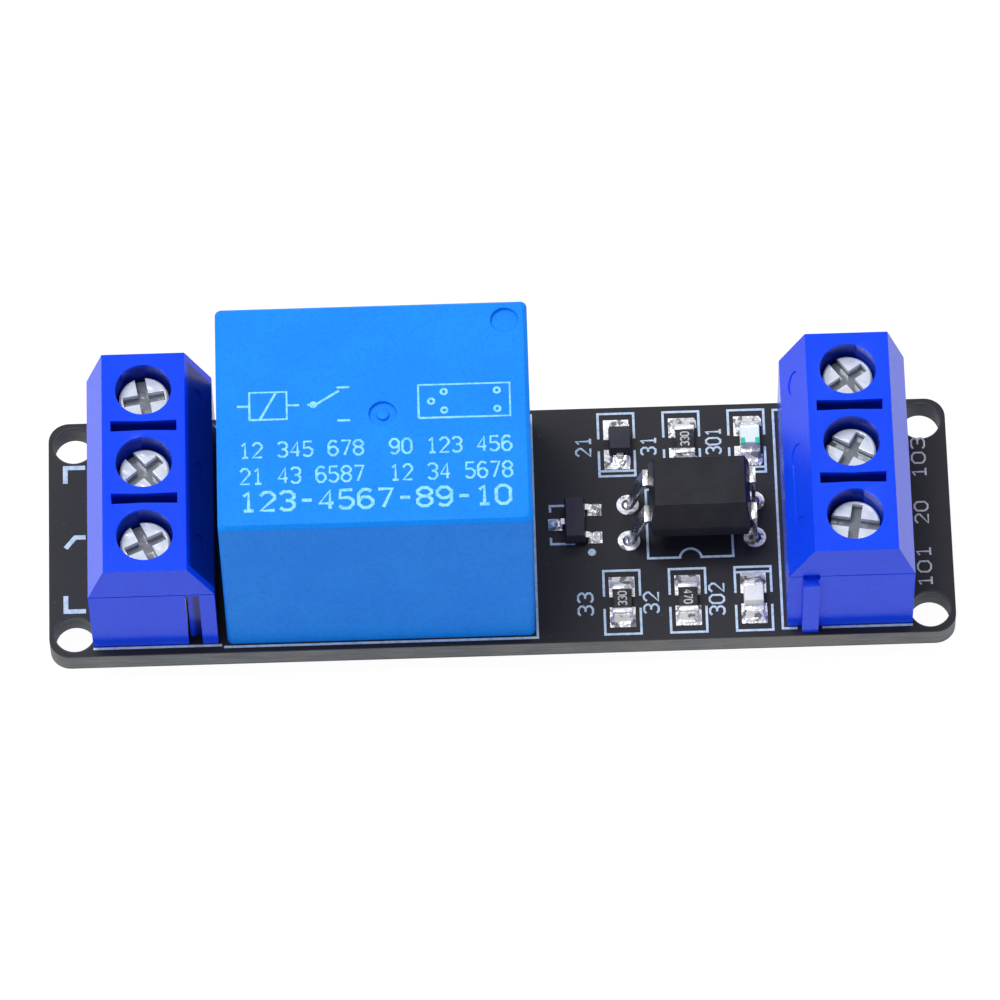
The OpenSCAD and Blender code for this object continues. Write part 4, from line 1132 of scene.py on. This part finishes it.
@dataclass
class Relay(SubAssembly):
    """The sealed relay: cover, its print, and the works inside."""

    edge: float = 0.06 * MM
    wire: float = 0.16 * MM
    ink: float = 0.012 * MM
    stroke: float = 0.17 * MM
    stroke_big: float = 0.25 * MM
    figures_y: float = 0.75 * MM

    def build(self) -> None:
        """Builds and dresses the relay."""
        cover = softened("relay_cover", self.edge)
        self.add("relay_case", cover, Look.RELAY, "relay_blue", replaces=["relay_cover"])
        self.dress(Look.RESIN, "relay_seal")
        self.dress(Look.BASE, "relay_base")
        self.dress(Look.BOBBIN, "relay_bobbin")
        self.dress(Look.IRON, "relay_core", "relay_yoke", "relay_armature")
        self.dress(Look.BRONZE, "relay_contact_spring", "relay_open_terminal",
                   "relay_closed_terminal")
        self.dress(Look.SILVER, "relay_moving_contact", "relay_fixed_contacts")
        self.dress(Look.PIN, "relay_common_pin", "relay_coil_pins")
        self.winding()
        self.print_top()

    def winding(self) -> None:
        """Winds the coil on its bobbin."""
        low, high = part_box("relay_coil")
        middle = (low + high) / 2
        radius = (high.x - low.x) / 2
        height = high.z - low.z - self.wire
        coil = winding_tree().grow(Radius=radius, Height=height, Turns=height / self.wire,
                                   Wire=self.wire, Material=material_of(Look.ENAMEL))
        moved(coil, at(middle.x, middle.y, low.z + self.wire / 2))
        self.add("relay_coil_winding", coil, Look.ENAMEL, "coil_copper", replaces=["relay_coil"])

    def print_top(self) -> None:
        """Prints plain numbers and plain circuit symbols on the cover."""
        low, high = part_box("relay_cover")
        centre = (low.x + high.x) / 2
        tree = stroke_tree()
        lines = [("12 345 678", 7.5, 1.0, self.stroke, -4.4, -2.3),
                 ("90 123 456", 7.4, 1.0, self.stroke, 4.7, -2.3),
                 ("21 43 6587", 7.5, 1.05, self.stroke, -4.4, -4.1),
                 ("12 34 5678", 7.4, 1.05, self.stroke, 4.7, -4.1),
                 ("123-4567-89-10", 16.4, 1.25, self.stroke_big, 0.05, -5.85)]
        rows = []
        for text, length, height, bold, x, y in lines:
            row = inked(number(text, length * MM, height * MM), bold, self.ink, tree,
                        Look.RELAY_INK)
            rows.append(moved(row, at(centre + x * MM, y * MM, high.z)))
        figures = coil_figure(3.8 * MM, 1.9 * MM, -6.4 * MM)
        figures += contact_figure(2.6 * MM, 2.3 * MM, -2.7 * MM)
        figures += pin_figure(5.6 * MM, 2.3 * MM, 5.6 * MM)
        drawn = inked(figures, self.stroke, self.ink, tree, Look.RELAY_INK)
        rows.append(moved(drawn, at(centre, self.figures_y, high.z)))
        self.add("relay_print", joined(rows, "relay_print"), Look.RELAY_INK, "print_ink")


@dataclass
class Chips(SubAssembly):
    """The small parts on the board: resistors, LEDs, diode and transistor."""

    edge: float = 0.05 * MM
    pad_w: float = 1.55 * MM
    value_l: float = 0.95 * MM
    value_h: float = 0.5 * MM
    value_bold: float = 0.1 * MM
    value_ink: float = 0.008 * MM
    mark: float = 0.28 * MM
    mark_t: float = 0.06 * MM
    lead_w: float = 0.4 * MM

    def build(self) -> None:
        """Builds and dresses the chips and their solder."""
        self.solder = solder_tree()
        self.seed = 0
        for i in range(1, 4):
            self.add(f"resistor_body_{i}", softened(f"resistor_{i}", self.edge), Look.GLAZE,
                     "resistor_glaze", replaces=[f"resistor_{i}"])
            self.ends(f"resistor_ends_{i}", f"resistor_caps_{i}")
        for i, lens in ((1, Look.LENS_GREEN), (2, Look.LENS_WHITE)):
            self.dress(Look.LED_BASE, f"led_base_{i}")
            self.add(f"led_dome_{i}", softened(f"led_lens_{i}", self.edge), lens, "led_lens",
                     replaces=[f"led_lens_{i}"])
            self.ends(f"led_ends_{i}", f"led_caps_{i}")
        self.dress(Look.SMALL_PACKAGE, "diode_body", "transistor_body")
        self.dress(Look.LEAD, "diode_leads", "transistor_leads")
        self.joints()
        self.values()
        self.marks()

    def values(self) -> None:
        """Prints a plain number on each resistor."""
        tree = stroke_tree()
        words = []
        for i, text, turn in ((1, "330", 90), (2, "470", -90), (3, "330", 90)):
            low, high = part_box(f"resistor_{i}")
            word = inked(number(text, self.value_l, self.value_h), self.value_bold, self.value_ink,
                         tree, Look.VALUE_INK)
            words.append(moved(word, at((low.x + high.x) / 2, (low.y + high.y) / 2, high.z, turn)))
        self.add("resistor_numbers", joined(words, "resistor_numbers"), Look.VALUE_INK,
                 "resistor_glaze")

    def marks(self) -> None:
        """Adds the two green marks of the first LED's polarity side."""
        low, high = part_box("led_lens_1")
        work = bmesh.new()
        for side in (-1, 1):
            x = (low.x + high.x) / 2 + side * ((high.x - low.x) / 2 - self.mark / 2)
            place = Matrix.Translation((x, low.y + self.mark * 0.9, high.z - self.mark_t / 4))
            bmesh.ops.create_cube(work, size=1.0, matrix=place @ Matrix.Diagonal(
                (self.mark, self.mark * 1.5, self.mark_t, 1.0)))
        bmesh.ops.bevel(work, geom=work.edges[:], offset=self.mark_t * 0.3, segments=2,
                        profile=0.5, affect="EDGES", clamp_overlap=True)
        mesh = bpy.data.meshes.new("led_marks")
        work.to_mesh(mesh)
        work.free()
        self.add("led_marks", mesh, Look.LED_MARK, "led_lens")

    def ends(self, node: str, name: str) -> None:
        """Rounds and dresses a chip's tinned ends."""
        self.add(name, softened(node, self.edge), Look.CHIP_END, "chip_ends", replaces=[node])

    def pillow(self, x: float, y: float, z: float, turn: float, width: float, length: float,
               rise: float) -> bpy.types.Mesh:
        """Makes one pillow of solder, drawn up at its far end.

        Args:
            x: Where its outer end is.
            y: Where its outer end is.
            z: The height of the pad.
            turn: The direction in which it rises, in degrees from +Y.
            width: Its width.
            length: Its length.
            rise: How high it is drawn up.

        Returns:
            The mesh, in place.
        """
        self.seed += 1
        mesh = self.solder.grow(Width=width, Length=length, Rim=0.09 * MM, Rise=rise,
                                Lump=0.05 * MM, Seed=self.seed * 3.7,
                                Material=material_of(Look.SOLDER))
        return moved(mesh, at(x, y, z, turn))

    def joints(self) -> None:
        """Adds the solder at each end of the chips and at the leads."""
        pads = []
        pad_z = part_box("solder_pads")[1].z
        nodes = [f"resistor_ends_{i}" for i in (1, 2, 3)] + [f"led_ends_{i}" for i in (1, 2)]
        for node in nodes:
            low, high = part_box(node)
            x = (low.x + high.x) / 2
            length = 0.74 * MM
            pads.append(self.pillow(x, low.y - length, pad_z, 0, self.pad_w, length, 0.3 * MM))
            pads.append(self.pillow(x, high.y + length, pad_z, 180, self.pad_w, length, 0.3 * MM))
        low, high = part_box("diode_leads")
        x = (low.x + high.x) / 2
        pads.append(self.pillow(x, low.y - 0.45 * MM, pad_z, 0, 1.3 * MM, 0.8 * MM, 0.12 * MM))
        pads.append(self.pillow(x, high.y + 0.45 * MM, pad_z, 180, 1.3 * MM, 0.8 * MM, 0.12 * MM))
        low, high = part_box("transistor_leads")
        lead = self.lead_w / 2
        pads.append(self.pillow(low.x - 0.3 * MM, (low.y + high.y) / 2, pad_z, -90, 0.85 * MM,
                                0.6 * MM, 0.12 * MM))
        for y in (low.y + lead, high.y - lead):
            pads.append(self.pillow(high.x + 0.3 * MM, y, pad_z, 90, 0.85 * MM, 0.6 * MM,
                                    0.12 * MM))
        self.add("chip_joints", joined(pads, "chip_joints"), Look.SOLDER, "solder",
                 replaces=["chip_solder"])


@dataclass
class Optocoupler(SubAssembly):
    """The four-pin optocoupler."""

    edge: float = 0.08 * MM
    row_low: float = 8.06 * MM
    row_high: float = 15.94 * MM
    lead_w: float = 1.1 * MM
    dome_r: float = 0.42 * MM
    dome_h: float = 0.2 * MM

    def build(self) -> None:
        """Builds and dresses the optocoupler."""
        self.add("optocoupler_case", softened("optocoupler_body", self.edge), Look.PACKAGE,
                 "package_black", replaces=["optocoupler_body"])
        self.add("optocoupler_pins", softened("optocoupler_leads", 0.03 * MM), Look.LEAD,
                 "component_leads", replaces=["optocoupler_leads"])
        self.domes()

    def domes(self) -> None:
        """Fills each lead's hole with a low dome of solder."""
        case_low, case_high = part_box("optocoupler_body")
        low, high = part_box("optocoupler_leads")
        middle = (case_low.y + case_high.y) / 2
        reach = (high.y - low.y - self.lead_w) / 2
        pad_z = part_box("solder_pads")[1].z
        work = bmesh.new()
        for x in (self.row_low, self.row_high):
            for y in (middle - reach, middle + reach):
                place = Matrix.Translation((x, y, pad_z - self.dome_h * 0.3))
                shape = Matrix.Diagonal((self.dome_r, self.dome_r, self.dome_h, 1.0))
                bmesh.ops.create_uvsphere(work, u_segments=28, v_segments=14, radius=1.0,
                                          matrix=place @ shape)
        for face in work.faces:
            face.smooth = True
        mesh = bpy.data.meshes.new("optocoupler_solder")
        work.to_mesh(mesh)
        work.free()
        self.add("optocoupler_solder", mesh, Look.JOINT, "solder")


# ---------------------------------------------------------------------------
# Studio
# ---------------------------------------------------------------------------

@dataclass
class Studio:
    """Floor, plain soft light and the camera."""

    floor_size: float = 3.0
    surround: float = 0.49
    target: tuple[float, float, float] = (0.0, 0.0, 3.2 * MM)
    tilt: float = 28.018
    roll: float = 1.714
    lean: float = 0.097
    distance: float = 551.63 * MM
    shift_x: float = 0.019 * MM
    shift_y: float = 1.687 * MM
    lens: float = 317.02

    def build(self) -> None:
        """Builds the studio."""
        self.floor()
        self.world()
        self.lights()
        self.camera()

    @staticmethod
    def seen(s: Graph) -> Value:
        """Says whether a ray shows the background: camera, glossy or transmission."""
        path = s.add("ShaderNodeLightPath").socket.node
        rays = [Value(s, path.outputs[f"Is {kind} Ray"])
                for kind in ("Camera", "Glossy", "Transmission")]
        return rays[0].most(rays[1]).most(rays[2])

    def floor(self) -> None:
        """Lays a pale floor that keeps a faint shadow."""
        mesh = bpy.data.meshes.new("floor")
        r = self.floor_size / 2
        mesh.from_pydata([(-r, -r, 0), (r, -r, 0), (r, r, 0), (-r, r, 0)], [], [(0, 1, 2, 3)])
        piece = linked("floor", mesh)
        s = Surface("pale_floor")
        matt = s.add("ShaderNodeBsdfDiffuse", None, {"Color": (0.86, 0.86, 0.87)})
        glow = s.add("ShaderNodeEmission", None, {"Color": (1.0, 1.0, 1.0), "Strength": 1.07})
        share = self.seen(s) * 0.9
        both = s.add("ShaderNodeMixShader", None, {0: share, 1: matt, 2: glow})
        s.add_output(both)
        mesh.materials.append(s.material)

    def world(self) -> None:
        """Sets an even surround, white where it is seen."""
        world = bpy.data.worlds.new("surround")
        bpy.context.scene.world = world
        world.use_nodes = True
        s = Graph(world.node_tree)
        camera = Value(s, s.add("ShaderNodeLightPath").socket.node.outputs["Is Camera Ray"])
        strength = camera * (1.0 - self.surround) + self.surround
        back = s.add("ShaderNodeBackground", None, {"Color": (1.0, 1.0, 1.0), "Strength": strength})
        node = world.node_tree.nodes.new("ShaderNodeOutputWorld")
        world.node_tree.links.new(back.socket, node.inputs["Surface"])

    def lights(self) -> None:
        """Hangs a soft lamp at the upper left and a small one above, for the glints."""
        self.lamp("key_lamp", (-0.22, 0.10, 0.68), 0.36, 3.7)
        self.lamp("glint_lamp", (0.2, 0.42, 0.55), 0.12, 0.4)

    @staticmethod
    def lamp(name: str, place: tuple[float, float, float], size: float, power: float) -> None:
        """Adds a square lamp that faces the object.

        Args:
            name: Its name.
            place: Where it hangs.
            size: The length of its side.
            power: Its power in watts.
        """
        data = bpy.data.lights.new(name, "AREA")
        data.size = size
        data.energy = power
        thing = linked(name, data)
        thing.location = place
        thing.rotation_euler = Vector(place).to_track_quat("Z", "Y").to_euler()

    def camera(self) -> None:
        """Sets the camera above the front edge, looking down at the board."""
        turn = (Matrix.Rotation(math.radians(self.roll), 3, "Z")
                @ Matrix.Rotation(math.radians(self.lean), 3, "Y")
                @ Matrix.Rotation(math.radians(-self.tilt), 3, "X"))
        shift = Vector((-self.shift_x, -self.shift_y, -self.distance))
        data = bpy.data.cameras.new("camera")
        data.sensor_width = 36.0
        data.lens = self.lens
        data.clip_start = 0.01
        data.clip_end = 10.0
        thing = linked("camera", data)
        back = turn.transposed()
        thing.matrix_world = (Matrix.Translation(Vector(self.target) - back @ shift)
                              @ back.to_4x4())
        bpy.context.scene.camera = thing
        bpy.context.scene.view_settings.view_transform = "Standard"


# ---------------------------------------------------------------------------


def main() -> None:
    """Builds every sub-assembly, then the studio."""
    logging.basicConfig(level=logging.INFO, format="%(name)s: %(message)s")
    for part in (CircuitBoard(), TerminalBlock(Side.LEFT), TerminalBlock(Side.RIGHT), Relay(),
                 Chips(), Optocoupler()):
        part.build()
        log.info("finished %s", type(part).__name__)
    Studio().build()


if __name__ == "__main__":
    main()
